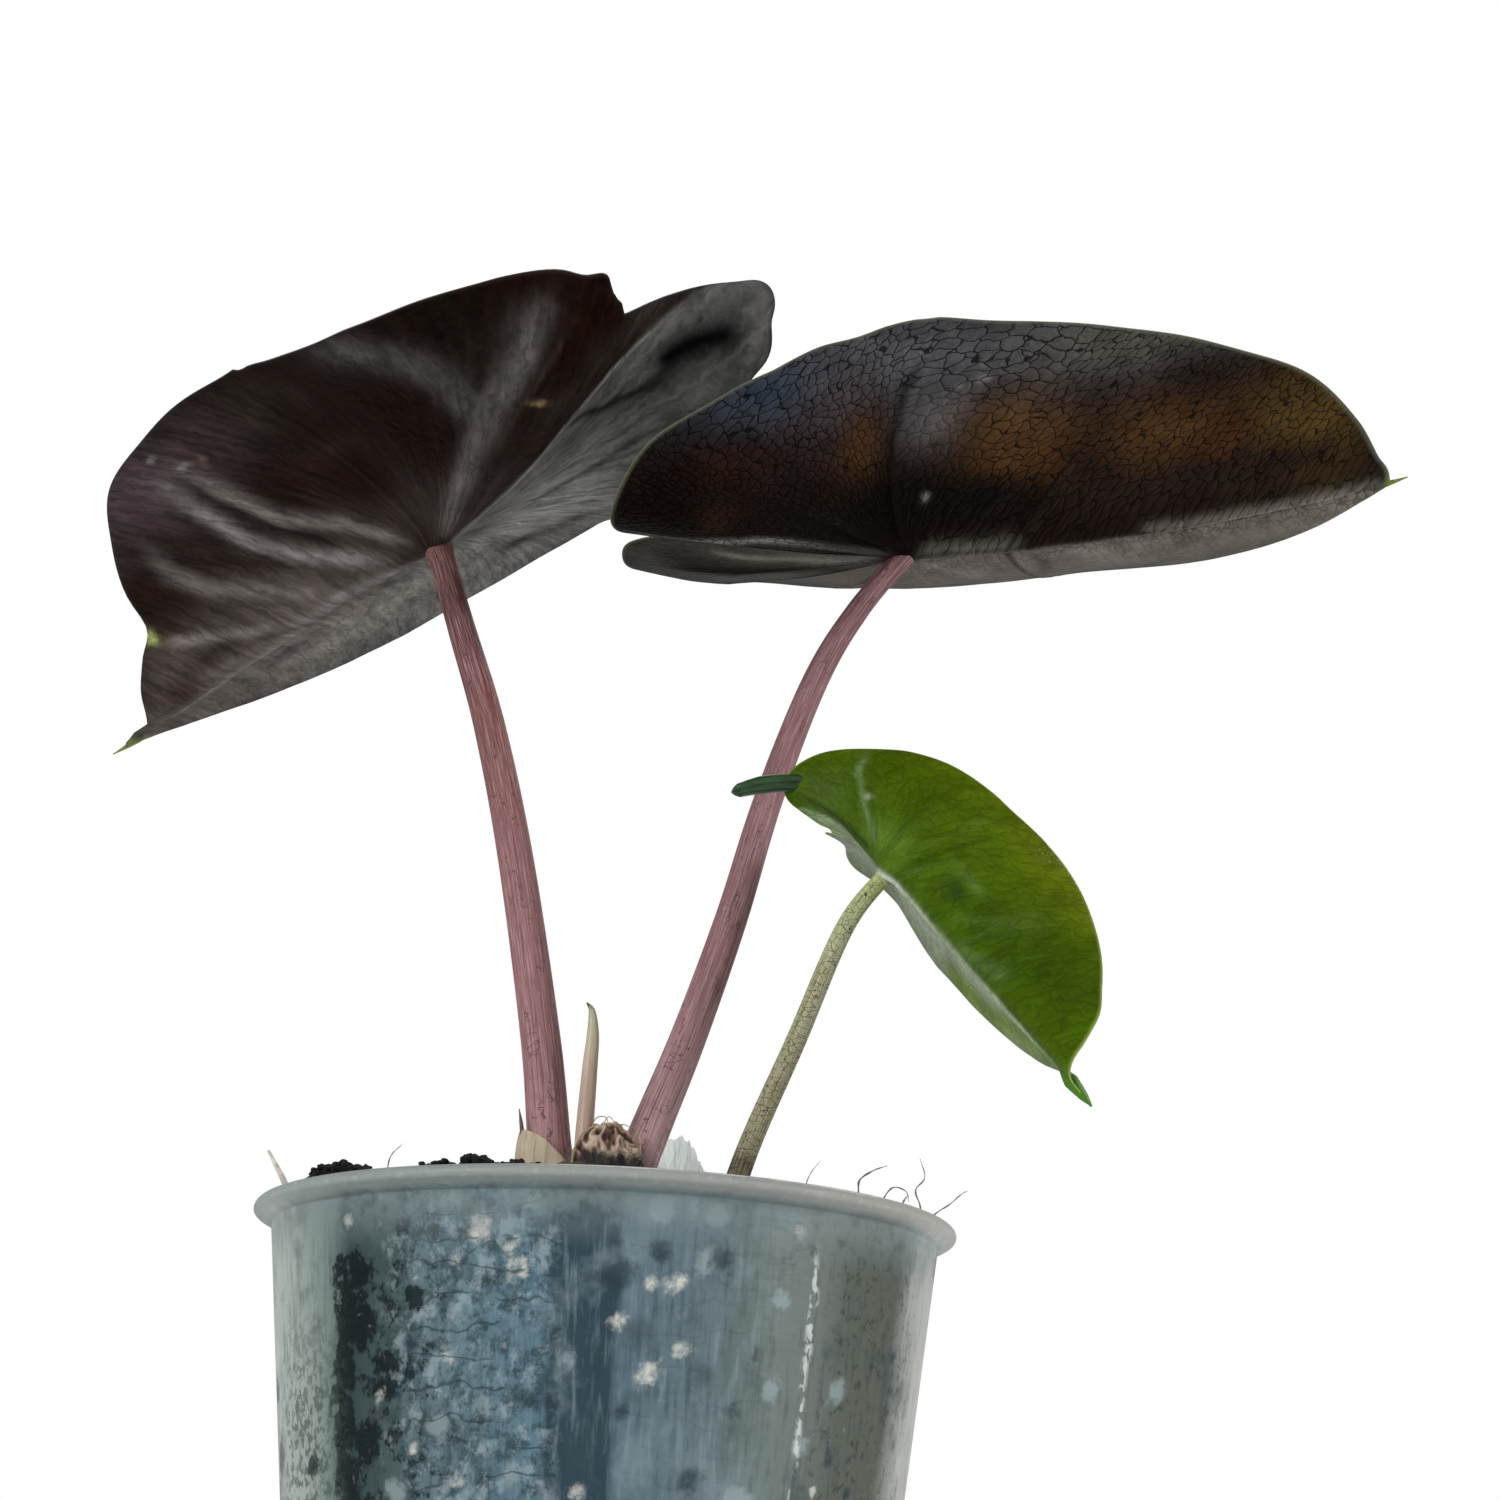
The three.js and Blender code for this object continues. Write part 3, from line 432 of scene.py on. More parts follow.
leftLeaf = {
    "joint": (-32.5, 12, 198), "heading": 134, "dip": 10.5, "roll": -32.5,
    "front": 82.5, "drip": 6.2, "lobes": (61.5, 60), "halves": (44.5, 38),
    "lobeEnds": (0.16, 0.67), "sinus": 0.9, "shoulders": (0.1, 1.0),
    "lift": (66, -4), "lobeLift": (-36, -71), "cup": (-19, -11), "web": 14,
    "droop": 3, "lobeDroop": -35, "twist": 8, "lobeTwist": 11.5, "sway": 0, "quilt": 0.6,
    "ribSpacing": 25.0, "firstRib": 0.0, "lobeRibs": (96.6, 129.8, 163.3), "tipWidth": (1.9, 2.2),
    "tipBow": -1.0,
    "tipRadii": (0.3, 0.85, 0.45, 0.08),
    # swells and notches of the margin: place on it, mm outwards, width
    "marginWaves": [((59, 15), -3.4, 5.0), ((71, 6), 1.1, 5.0), ((47, 34), -0.9, 8.0),
                    ((-62, 9), -1.2, 3.4), ((-57.2, 3.5), 0.9, 1.8), ((-56, 26), -0.9, 8.0),
                    ((-60, -27), 1.2, 3.0), ((-57, -31), -1.0, 2.5), ((-51, -33), 1.2, 3.5),
                    ((-42, -37), 1.6, 6.0), ((2, -38), 1.2, 10.0), ((30, -32), -0.6, 8.0),
                    ((68, -8), -0.4, 5.0), ((0, 46), -1.0, 9.0)],
    # pushes of the whole blade: middle, radii, mm towards the upper face
    "dents": [],
    "ribHeights": (0.7, 0.12),
    "base": (0.0070, 0.0018, 0.0009),
    # where the net of veins is weaker: middle, radii, by how much
    "plain": [],
    # soft patches of the leaf's own colour, of painted sheen and of painted shade: middle, radii, colour,
    # strength
    "patches": [
        ((-8, 22), (26, 14), (0.0065, 0.0016, 0.0008), 0.9),
        ((45, -2), (40, 13), (0.100, 0.084, 0.076), 0.9),
        ((8, -26), (46, 17), (0.155, 0.148, 0.140), 0.95),
        ((40, -16), (22, 8), (0.180, 0.166, 0.154), 0.7),
        ((-42, -24), (22, 14), (0.120, 0.118, 0.113), 0.95),
        ((-8, -19), (18, 9), (0.240, 0.238, 0.230), 0.85),
        ((36, 36), (24, 8), (0.058, 0.040, 0.046), 0.9),
        ((-30, 30), (10, 8), (0.006, 0.002, 0.001), 0.8),
        ((3, 37), (10, 7), (0.018, 0.014, 0.010), 0.6),
        ((1, 24), (12, 3), (0.020, 0.011, 0.008), 0.6),
        ((-47, 27), (9, 9), (0.0045, 0.003, 0.002), 0.9),
        ((-45, 20), (7, 5), (0.014, 0.010, 0.008), 0.6),
        ((6, -27), (5.5, 2.8), (0.005, 0.004, 0.0035), 0.95),
        ((-4, -31), (7, 2.6), (0.034, 0.030, 0.027), 0.75),
        ((22, -29), (6, 2.2), (0.050, 0.044, 0.040), 0.6),
        ((51, 5.5), (8, 2.2), (0.014, 0.009, 0.007), 0.85),
        ((64, 3), (5, 2.4), (0.026, 0.012, 0.009), 0.8),
        ((47, -8), (4.5, 2.3), (0.035, 0.025, 0.032), 0.7),
        ((12, -22), (16, 2.4), (0.075, 0.070, 0.066), 0.6),
        ((34, -24), (14, 2.6), (0.085, 0.078, 0.074), 0.6),
        ((60, -9), (14, 2.2), (0.070, 0.064, 0.058), 0.6),
    ],
    # bands of painted sheen and painted shade that end sharply on one side of a line: line, width to its left
    # and right, colour, strength
    "edges": [
        ([(1, -0.5), (-17, 0), (-32, -1), (-43, -6), (-49, -12), (-57, -18)], (0.3, 7.0),
         (0.012, 0.005, 0.003), 0.9),
        ([(1, -0.5), (-17, 0), (-32, -1), (-43, -6), (-49, -12), (-57, -18)], (10.0, 0.4),
         (0.115, 0.114, 0.111), 0.9),
    ],
    # drawn streaks, the pale ones painted sheen and the dark ones painted shade on the folds: line, width at
    # its two ends, colour, strength, height of the fold that carries it
    "streaks": [
        ([(3, 4), (10, 12), (19, 18), (23, 27), (25, 38)], (1.2, 2.4), (0.135, 0.120, 0.113), 0.9, 0.6),
        ([(9, 3), (22, 11), (28, 18), (30, 28), (31, 37)], (1.5, 2.4), (0.165, 0.150, 0.145), 0.9, 0.5),
        ([(13, 8), (22, 17), (26, 27), (27, 36)], (0.7, 0.8), (0.012, 0.009, 0.008), 0.9, -0.3),
        ([(24, 9.5), (35, 19), (44, 29)], (1.2, 3.0), (0.018, 0.012, 0.010), 0.85, -0.2),
        ([(24, 4), (34, 10), (42, 15), (46, 21), (45, 28)], (1.4, 2.4), (0.125, 0.110, 0.103), 0.85, 0.5),
        ([(36, 2.5), (47, 7), (55, 10), (60, 12)], (1.0, 1.2), (0.135, 0.120, 0.110), 0.8, 0.4),
        ([(5, 0), (22, 2), (35, 1), (61, -1.5), (76, -1)], (0.8, 1.3), (0.160, 0.150, 0.145), 0.8, 0.1),
        ([(-3, 2), (-12, 7), (-22, 11), (-33, 14), (-44, 14), (-52, 15), (-57, 13)], (1.0, 3.6),
         (0.082, 0.075, 0.072), 0.95, 0.4),
        ([(-30, 14), (-35, 22), (-35, 29), (-32, 37), (-23, 41)], (3.0, 4.2),
         (0.060, 0.054, 0.055), 0.9, 0.3),
        ([(-1, -1), (-17, -0.5), (-32, -1.5), (-43, -6.5), (-49, -12), (-57, -18)], (0.5, 0.6),
         (0.20, 0.19, 0.18), 0.8, 0.4),
        ([(-44, -9), (-50, -14), (-56, -20), (-60, -27)], (1.5, 2.5), (0.100, 0.097, 0.090), 0.7, 0.2),
        ([(-31, -2), (-34, -12), (-39, -17), (-45, -20)], (0.7, 1.8), (0.010, 0.009, 0.008), 0.9, -0.2),
        ([(-43, -16), (-49, -21), (-55, -28)], (3.0, 3.0), (0.0015, 0.0012, 0.0012), 0.99, -0.4),
        ([(-12, -8), (-28, -13), (-38, -22), (-52, -30)], (0.9, 1.6), (0.150, 0.148, 0.142), 0.7, 0.3),
        ([(-8, -14), (-22, -22), (-36, -30)], (0.8, 1.6), (0.150, 0.148, 0.142), 0.6, 0.3),
        ([(-14, -13), (-30, -20), (-40, -27)], (0.4, 0.9), (0.035, 0.033, 0.031), 0.6, -0.1),
        ([(-8, -11), (-22, -17), (-34, -26), (-44, -31)], (0.35, 0.7), (0.045, 0.042, 0.040), 0.6, -0.2),
        ([(-6, -16), (-16, -26), (-26, -32)], (0.4, 0.8), (0.050, 0.046, 0.043), 0.55, -0.2),
        ([(1, -7), (4, -18), (10, -28)], (0.5, 1.2), (0.060, 0.055, 0.052), 0.5, -0.2),
        ([(14, -3), (24, -10), (36, -16)], (0.5, 1.2), (0.060, 0.052, 0.048), 0.5, -0.2),
        ([(30, 0.5), (42, 3), (56, 4)], (0.5, 0.8), (0.035, 0.026, 0.022), 0.6, -0.2),
        ([(-20, 8), (-32, 10), (-44, 9), (-54, 8)], (0.4, 0.6), (0.030, 0.024, 0.022), 0.6, -0.2),
    ],
    # small marks: middle, radii, colour
    "specks": [
        ((60.5, 14), (1.2, 1.4), (0.40, 0.46, 0.14)), ((-37, 7), (0.5, 1.6), (0.20, 0.14, 0.07)),
        ((24, 35), (0.9, 0.5), (0.20, 0.19, 0.18)), ((27, 39), (0.8, 0.5), (0.22, 0.21, 0.20)),
        ((20, 34), (0.5, 0.9), (0.16, 0.12, 0.10)),
    ],
    "wrinkles": 0.10, "mesh": 2.2,
}

rightLeaf = {
    "joint": (40.6, -4, 194), "heading": 6.5, "dip": -9, "roll": -7.7,
    "front": 81.5, "drip": 4.7, "lobes": (43, 45.5), "halves": (35, 41),
    "lobeEnds": (0.27, 0.42), "sinus": 0.57, "shoulders": (1.07, 1.24),
    "lift": (2, 29), "lobeLift": (0, 42), "cup": (36, -6), "web": -19,
    "droop": -11.5, "lobeDroop": -21, "twist": -5, "lobeTwist": 23, "sway": 0, "quilt": 0.4,
    "ribSpacing": 30.0, "firstRib": 16.0, "lobeRibs": (110.0, 148.0, 163.3), "tipWidth": (1.8, 1.8),
    "tipBow": 0.4,
    "tipRadii": (0.3, 0.85, 0.42, 0.08),
    "marginWaves": [((-14, 36), -1.0, 17.0), ((-1, -42), 1.2, 8.0), ((-33, -36), 1.6, 7.0),
                    ((-14, -41), -0.9, 5.0), ((42, -33), 0.7, 10.0), ((-36, 0), 2.0, 9.0),
                    ((81, -3), 0.8, 2.5), ((76, 6), -0.7, 4.0), ((-45, 6), -0.6, 4.0)],
    "dents": [((-14, 25), (18, 16), 2.5), ((36, 27), (16, 10), 1.2)],
    "ribHeights": (0.95, 0.4),
    "base": (0.0060, 0.0026, 0.0018),
    "plain": [((30, 25), (64, 25), 0.85), ((-30, 12), (20, 13), 0.8), ((2, -23), (8, 8), 0.4)],
    # the patches, edges and streaks below mix the leaf's own colours with painted light: the blue-grey
    # patches and the pale edge bands beside the midrib are painted sheen, the brown and orange patches
    # painted glow of light through the blade, and the dark band on the far lobe painted shade
    "patches": [
        ((-2, -36), (38, 8), (0.068, 0.070, 0.080), 0.95),
        ((-16, -30), (8, 7), (0.052, 0.036, 0.038), 0.7),
        ((-27, -33), (9, 5), (0.022, 0.034, 0.050), 0.85),
        ((2, -25), (6, 6), (0.080, 0.080, 0.086), 0.75),
        ((14, -22), (9, 7), (0.070, 0.034, 0.012), 0.9),
        ((17, -15), (8, 4), (0.082, 0.034, 0.010), 0.7),
        ((40, -18), (12, 7), (0.060, 0.028, 0.009), 0.85),
        ((52, -15), (5, 4.5), (0.040, 0.010, 0.004), 0.85),
        ((-10, -21), (3.6, 7), (0.062, 0.028, 0.010), 0.85),
        ((-30, -23), (8, 4), (0.018, 0.007, 0.004), 0.8),
        ((-31, -14), (3, 3), (0.034, 0.014, 0.008), 0.6),
        ((-38, -16), (6, 8), (0.003, 0.0015, 0.001), 0.8),
        ((66, -16), (11, 10), (0.058, 0.034, 0.008), 0.9),
        ((34, -36), (26, 5), (0.070, 0.062, 0.050), 0.7),
        ((-4, -9), (19, 7), (0.0022, 0.0014, 0.0011), 0.98),
        ((12, -10), (10, 4), (0.0026, 0.0018, 0.0014), 0.95),
        ((29, -10), (5, 8), (0.010, 0.005, 0.003), 0.8),
        ((45, -8), (14, 3), (0.014, 0.008, 0.006), 0.85),
        ((62, -9), (8, 3), (0.008, 0.004, 0.003), 0.9),
        ((-28, 9), (16, 7), (0.075, 0.070, 0.062), 0.85),
        ((-30, 6), (12, 3), (0.006, 0.004, 0.003), 0.92),
        ((70, 5), (6, 4), (0.060, 0.088, 0.022), 0.75),
    ],
    "edges": [
        ([(6, 0.3), (82, 0.3)], (26.0, 0.4), (0.135, 0.120, 0.104), 0.95),
        ([(52, 0.3), (66, 0.4)], (14.0, 0.4), (0.090, 0.085, 0.062), 0.7),
        ([(1, 0.3), (22, 0.4)], (14.0, 0.4), (0.105, 0.088, 0.084), 0.8),
        ([(4, -0.2), (16, -0.4)], (0.3, 2.0), (0.105, 0.100, 0.084), 0.7),
        ([(40, -0.4), (80, -0.2)], (0.3, 1.5), (0.105, 0.092, 0.078), 0.8),
    ],
    "streaks": [
        ([(3, 0.2), (30, 0.3), (56, 0.3), (80, 0.2)], (0.55, 0.35), (0.24, 0.22, 0.20), 0.9, 0.1),
        ([(3, 1.5), (30, 1.5), (56, 1.3), (78, 1.0)], (0.4, 0.3), (0.045, 0.036, 0.032), 0.8, -0.1),
        ([(-2, -1), (-13, -4), (-25, -8.5), (-35, -10), (-43, -12)], (0.5, 0.6),
         (0.17, 0.16, 0.15), 0.85, 0.1),
        ([(-2, 0.5), (-12, 2.0), (-24, 3.0), (-31, 3)], (0.9, 0.7), (0.18, 0.17, 0.16), 0.85, 0.1),
        ([(-8, 4.5), (-20, 6.5), (-30, 9), (-39, 10)], (1.4, 3.6), (0.004, 0.003, 0.002), 0.93, -0.1),
        ([(-8, 7.5), (-20, 10), (-34, 12.5)], (0.6, 0.8), (0.060, 0.055, 0.048), 0.6, 0.0),
        ([(3, 4), (12, 9), (17, 16)], (1.2, 2.2), (0.170, 0.150, 0.140), 0.5, 0.2),
        ([(20, 2), (25, 8), (27, 15)], (0.8, 1.6), (0.040, 0.032, 0.028), 0.7, -0.2),
        ([(28, 3), (36, 8), (42, 15)], (1.4, 2.6), (0.190, 0.170, 0.150), 0.5, 0.2),
        ([(46, 2), (52, 7), (56, 13)], (0.6, 1.2), (0.060, 0.050, 0.042), 0.6, -0.1),
        ([(19, -2), (26, -10), (31, -18)], (0.9, 1.4), (0.012, 0.006, 0.004), 0.8, -0.2),
        ([(44, -1.5), (51, -8), (58, -15)], (0.7, 1.2), (0.012, 0.006, 0.004), 0.75, -0.2),
        ([(9, -2), (13, -7), (18, -13)], (0.5, 0.7), (0.006, 0.004, 0.003), 0.7, -0.1),
        ([(-4, -14), (-5, -21), (-4, -30), (-1, -36)], (0.9, 0.7), (0.008, 0.005, 0.004), 0.8, -0.1),
    ],
    "specks": [
        ((9, -31), (0.9, 0.6), (0.17, 0.15, 0.15)), ((2, -10.5), (0.6, 0.8), (0.14, 0.14, 0.13)),
        ((5, -30), (0.6, 0.4), (0.14, 0.12, 0.12)), ((-18, -33), (0.5, 0.4), (0.13, 0.10, 0.11)),
    ],
    "wrinkles": 0.06, "mesh": 2.2,
}

smallLeaf = {
    "joint": (37.1, -26, 137), "heading": -54, "dip": 43.7, "roll": -33.5,
    "front": 59, "drip": 6.7, "lobes": (21, 20.3), "halves": (23, 22),
    "lobeEnds": (0.45, 0.32), "sinus": 0.66, "shoulders": (0.64, 1.14),
    "lift": (16, 77), "lobeLift": (-6, 25), "cup": (-41, 54), "web": 28,
    "droop": 4, "lobeDroop": 35, "twist": 5, "lobeTwist": 3.5, "sway": -0.18, "quilt": 0.4,
    "ribSpacing": 17.9, "firstRib": 3.0, "lobeRibs": (108.0, 138.0, 163.3), "tipWidth": (1.5, 2.1),
    "tipBow": 0.6,
    "tipRadii": (0.3, 0.95, 0.6, 0.08),
    "marginWaves": [((-21, 9), -2.8, 5.0), ((-21, -6), 1.6, 4.0), ((0, -22), -0.9, 8.0),
                    ((2, 22), -0.8, 7.0), ((54, 4), -0.9, 4.0), ((52, -8), 1.0, 4.0),
                    ((57.5, -3.4), -0.7, 2.0)],
    "dents": [],
    "ribHeights": (0.8, 0.3),
    "base": (0.046, 0.090, 0.0012),
    "plain": [],
    "patches": [
        ((-14, -9), (4, 5), (0.052, 0.092, 0.014), 0.6),
        ((-9, -17), (6, 5), (0.040, 0.078, 0.001), 0.85),
        ((14, -6), (3.2, 1.5), (0.012, 0.034, 0.006), 0.9),
        ((14, -8.4), (4.2, 0.8), (0.110, 0.190, 0.045), 0.6),
        ((22, -19), (30, 4.2), (0.115, 0.140, 0.003), 0.85),
        ((2, -19), (14, 2.4), (0.060, 0.092, 0.004), 0.6),
        ((-2, -14), (14, 6), (0.038, 0.075, 0.001), 0.6),
        ((8, -12), (8, 5), (0.060, 0.108, 0.003), 0.7),
        ((36, -8), (13, 5), (0.026, 0.056, 0.001), 0.8),
        ((26, -12), (5, 5), (0.070, 0.112, 0.004), 0.5),
        ((24, -7), (7, 3), (0.032, 0.072, 0.002), 0.6),
        ((-2, -4), (4, 3), (0.100, 0.180, 0.020), 0.7),
    ],
    "edges": [
        ([(18, -0.7), (34, -0.6), (58, -0.4)], (24.0, 0.3), (0.070, 0.130, 0.018), 0.85),
        # the near-white band beside the midrib, on the far half, is painted sheen
        ([(-2, -0.8), (16, -0.6)], (18.0, 0.3), (0.80, 0.84, 0.76), 0.97),
        ([(30, -0.7), (44, -0.6)], (5.0, 0.3), (0.130, 0.200, 0.085), 0.6),
        ([(-1, -0.6), (-8, -1.4), (-19, -3.4)], (0.3, 9.0), (0.12, 0.19, 0.06), 0.85),
    ],
    "streaks": [
        ([(2, 21), (16, 20), (34, 15), (50, 7)], (3.4, 2.0), (0.120, 0.210, 0.014), 0.85, 0.0),
        ([(3, -0.4), (19, -0.4), (36, -0.3), (57, -0.3)], (0.7, 0.4), (0.34, 0.40, 0.27), 0.95, 0.2),
        ([(3, -1.9), (19, -1.7), (36, -1.4), (52, -1.2)], (0.7, 0.4), (0.035, 0.075, 0.004), 0.6, 0.0),
        ([(22, -1.6), (30, -2.4), (36, -4)], (0.6, 1.4), (0.090, 0.150, 0.045), 0.5, 0.2),
        ([(17, -3), (24, -7), (30, -13)], (0.7, 1.6), (0.075, 0.128, 0.020), 0.5, 0.2),
        ([(2, -6), (4, -12), (3, -18)], (0.6, 1.2), (0.075, 0.125, 0.012), 0.5, 0.2),
        ([(3, -2.5), (6, -8), (7, -13), (7, -17)], (0.5, 0.45), (0.018, 0.050, 0.004), 0.65, 0.0),
        ([(23, -2), (27, -6), (31, -11)], (0.5, 0.45), (0.020, 0.052, 0.004), 0.5, 0.0),
        ([(-3, -3), (-9, -7), (-13, -11), (-15, -17)], (0.4, 0.5), (0.120, 0.190, 0.070), 0.75, 0.2),
        ([(-3, -0.5), (-12, -1.5), (-19, -3)], (0.6, 0.7), (0.24, 0.30, 0.20), 0.8, 0.0),
        ([(-3, -2.0), (-12, -3.4), (-19, -5.4)], (0.3, 0.3), (0.012, 0.030, 0.008), 0.8, 0.0),
    ],
    "specks": [
        ((-2.5, 0.8), (0.8, 0.6), (0.003, 0.003, 0.002)), ((7, 1.5), (0.9, 0.7), (0.003, 0.003, 0.002)),
        ((8.5, 3.5), (0.4, 0.5), (0.01, 0.01, 0.008)), ((-9, -8), (0.6, 0.5), (0.25, 0.30, 0.18)),
    ],
    "wrinkles": 0.06, "mesh": 2.2,
}


def ease(share):
    return 1.3 * share ** 2 / (share + 0.3)


def leafFrame(leaf):
    heading, dip, roll = np.radians([leaf["heading"], leaf["dip"], leaf["roll"]])
    front = np.array([np.cos(heading) * np.cos(dip), np.sin(heading) * np.cos(dip), -np.sin(dip)])
    level = np.array([-np.sin(heading), np.cos(heading), 0.0])
    left = np.cos(roll) * level + np.sin(roll) * np.cross(front, level)
    return np.stack([front, left, np.cross(front, left)])


def halfOutline(leaf, side):
    half, lobe = leaf["halves"][side], leaf["lobes"][side]
    front, drip, sinus = leaf["front"], leaf["drip"], leaf["sinus"]
    shoulder, end = leaf["shoulders"][side], leaf["lobeEnds"][side]
    knots = [
        (front + drip, 0),
        (front + 0.5 * drip, 0.2 * leaf["tipWidth"][side]),
        (front + 0.05 * drip, leaf["tipWidth"][side]),
        (0.925 * front, 0.26 * half * shoulder),
        (0.78 * front, 0.54 * half * (0.5 + 0.5 * shoulder)),
        (0.55 * front, 0.8 * half),
        (0.28 * front, 0.96 * half),
        (0.02 * front, half),
        (-0.38 * lobe, 0.97 * half),
        (-0.72 * lobe, 0.8 * half),
        (-0.94 * lobe, (0.45 + 0.55 * end) * half),
        (-lobe, end * half),
        (-0.93 * lobe, 0.52 * end * half),
        (-(0.45 * sinus + 0.51) * lobe, 0.2 * end * half),
        (-(0.9 * sinus + 0.1) * lobe, min(0.035, 0.14 * end) * half),
        (-sinus * sum(leaf["lobes"]) / 2, 0),
    ]
    outline = curvePoints(knots, leafParts["stepsPerKnot"])
    hand = 1 if side == 0 else -1
    outline[:, 1] = np.maximum(outline[:, 1], 0) * hand
    along = np.gradient(outline, axis=0)
    outward = hand * np.stack([along[:, 1], -along[:, 0]], axis=1) / np.linalg.norm(along, axis=1)[:, None]
    reach = 6
    window = np.ones(2 * reach + 1) / (2 * reach + 1)
    smoothed = [np.convolve(np.pad(part, reach, "edge"), window, "valid") for part in outward.T]
    outward = np.stack(smoothed, axis=1)
    for place, swell, width in leaf["marginWaves"]:
        near = np.exp(-np.sum((outline - place) ** 2, axis=1) / width ** 2)
        outline = outline + (swell * near)[:, None] * outward
    return outline


def bowTip(leaf, x, y):
    # the drip tip swings to the leaf's left by half a sine wave of its length, and back at its end
    share = np.clip((x - 0.97 * leaf["front"]) / (leaf["drip"] + 0.03 * leaf["front"]), 0, 1)
    return y + leaf["tipBow"] * np.sin(np.pi * share)


def veinNumber(leaf, x, y):
    # a side rib runs where this is a whole number: ahead of the joint it counts the ribs' feet down the
    # midrib from firstRib on, round the joint it counts the angles of the lobe ribs
    halves = np.where(y < 0, leaf["halves"][1], leaf["halves"][0])
    across = np.abs(y)
    forward = x - leafParts["ribCurl"] * across ** 2 / halves
    foot = forward - across / np.tan(np.radians(leafParts["ribAngle"]))
    start = leaf["firstRib"] / leaf["ribSpacing"]
    angles = (leafParts["ribAngle"], *leaf["lobeRibs"], 190.0)
    counts = (start, *range(1, len(leaf["lobeRibs"]) + 1), len(leaf["lobeRibs"]) + 1)
    fan = np.interp(np.degrees(np.arctan2(across, forward)), angles, counts)
    return np.where(foot > 0, start - foot / leaf["ribSpacing"], fan)


def bladePoints(leaf, x, y, quilted=1.0):
    # each half is rolled out sideways by adding small steps that turn from the web's angle to the half's own,
    # then it is bent along the midrib and twisted about it
    side = (y < 0).astype(int)

    def pick(key):
        return np.asarray(leaf[key], float)[side]

    across = np.abs(y)
    back = ease(np.maximum(-x, 0) / pick("lobes"))
    fold = np.radians(pick("lift") + pick("lobeLift") * back)
    cup = np.radians(pick("cup"))
    hinge = 1.5 + leafParts["lobeRibSlope"] * np.maximum(0, -x)
    web = np.radians(leaf["web"]) * np.minimum(1, 2 * back)
    steps = 16
    sideways = np.zeros(len(x))
    height = np.zeros(len(x))
    for i in range(steps):
        d = across * (i + 0.5) / steps
        turn = smoothStep((d / hinge - 0.4) / 1.2)
        slope = web * (1 - turn) + (fold + cup * np.maximum(0, d - hinge) / pick("halves")) * turn
        sideways += np.cos(slope) * across / steps
        height += np.sin(slope) * across / steps
    swell = quilted * leaf["quilt"] * np.abs(np.sin(np.pi * veinNumber(leaf, x, y)))
    swell = swell * np.minimum(1, across / 12)
    sideways -= np.sin(slope) * swell
    height += np.cos(slope) * swell
    sideways = np.where(side == 1, -sideways, sideways)
    twist = np.radians(np.where(x > 0, leaf["twist"] * ease(np.maximum(x, 0) / leaf["front"]),
                                leaf["lobeTwist"] * back))
    turnedSide = sideways * np.cos(twist) - height * np.sin(twist)
    turnedUp = sideways * np.sin(twist) + height * np.cos(twist)
    bend = np.radians(np.where(x > 0, leaf["droop"] / leaf["front"],
                               2 * leaf["lobeDroop"] / sum(leaf["lobes"])))
    angle = bend * np.abs(x)
    return np.stack([
        np.sign(x) * (np.sin(angle) / bend + np.sin(angle) * turnedUp),
        turnedSide + leaf["sway"] * x * np.abs(x) / leaf["front"],
        np.cos(angle) * turnedUp - (1 - np.cos(angle)) / bend,
    ], axis=1)


def bladeNormals(leaf, x, y):
    # square to the surface: the cross product of its slopes along x and along y
    step = 0.2
    hand = np.where(y < 0, -1.0, 1.0)
    base = bladePoints(leaf, x, y)
    alongX = bladePoints(leaf, x + step, y) - base
    alongY = (bladePoints(leaf, x, y + hand * step) - base) * hand[:, None]
    normal = np.cross(alongX, alongY)
    return normal / np.linalg.norm(normal, axis=1, keepdims=True)


def ribDistances(leaf, x, y):
    # how far, in mm, each flat point lies from the midrib or a lobe rib and from the nearest side rib
    across = np.abs(y)
    slope = leafParts["lobeRibSlope"]
    lobeRib = np.abs(across + slope * np.minimum(x, 0)) / np.hypot(1, slope)
    inner = np.where(across > slope * -x, lobeRib, np.minimum(lobeRib, across + 1.5))
    mainRib = np.where(x > 0, across, inner)
    number = veinNumber(leaf, x, y)
    step = 0.25
    growth = np.hypot(veinNumber(leaf, x + step, y) - number,
                      veinNumber(leaf, x, y + np.where(y < 0, -step, step)) - number) / step
    return mainRib, np.abs(number - np.round(number)) / np.maximum(growth, 1e-4), number, growth


def netPlaces(leaf, x, y, number):
    # counts meshes of the net across the side ribs and along them: long meshes near the ribs' feet, short
    # ones further out
    halves = np.where(y < 0, leaf["halves"][1], leaf["halves"][0])
    across = np.abs(y)
    forward = x - leafParts["ribCurl"] * across ** 2 / halves
    along = np.where(forward - across / np.tan(np.radians(leafParts["ribAngle"])) > 0,
                     across / np.sin(np.radians(leafParts["ribAngle"])), np.hypot(forward, across))
    beyond = 0.5 * (along - 9 + np.hypot(along - 9, 5))
    return number * leaf["ribSpacing"] / leaf["mesh"], 0.13 * along + (1 / leaf["mesh"] - 0.13) * beyond


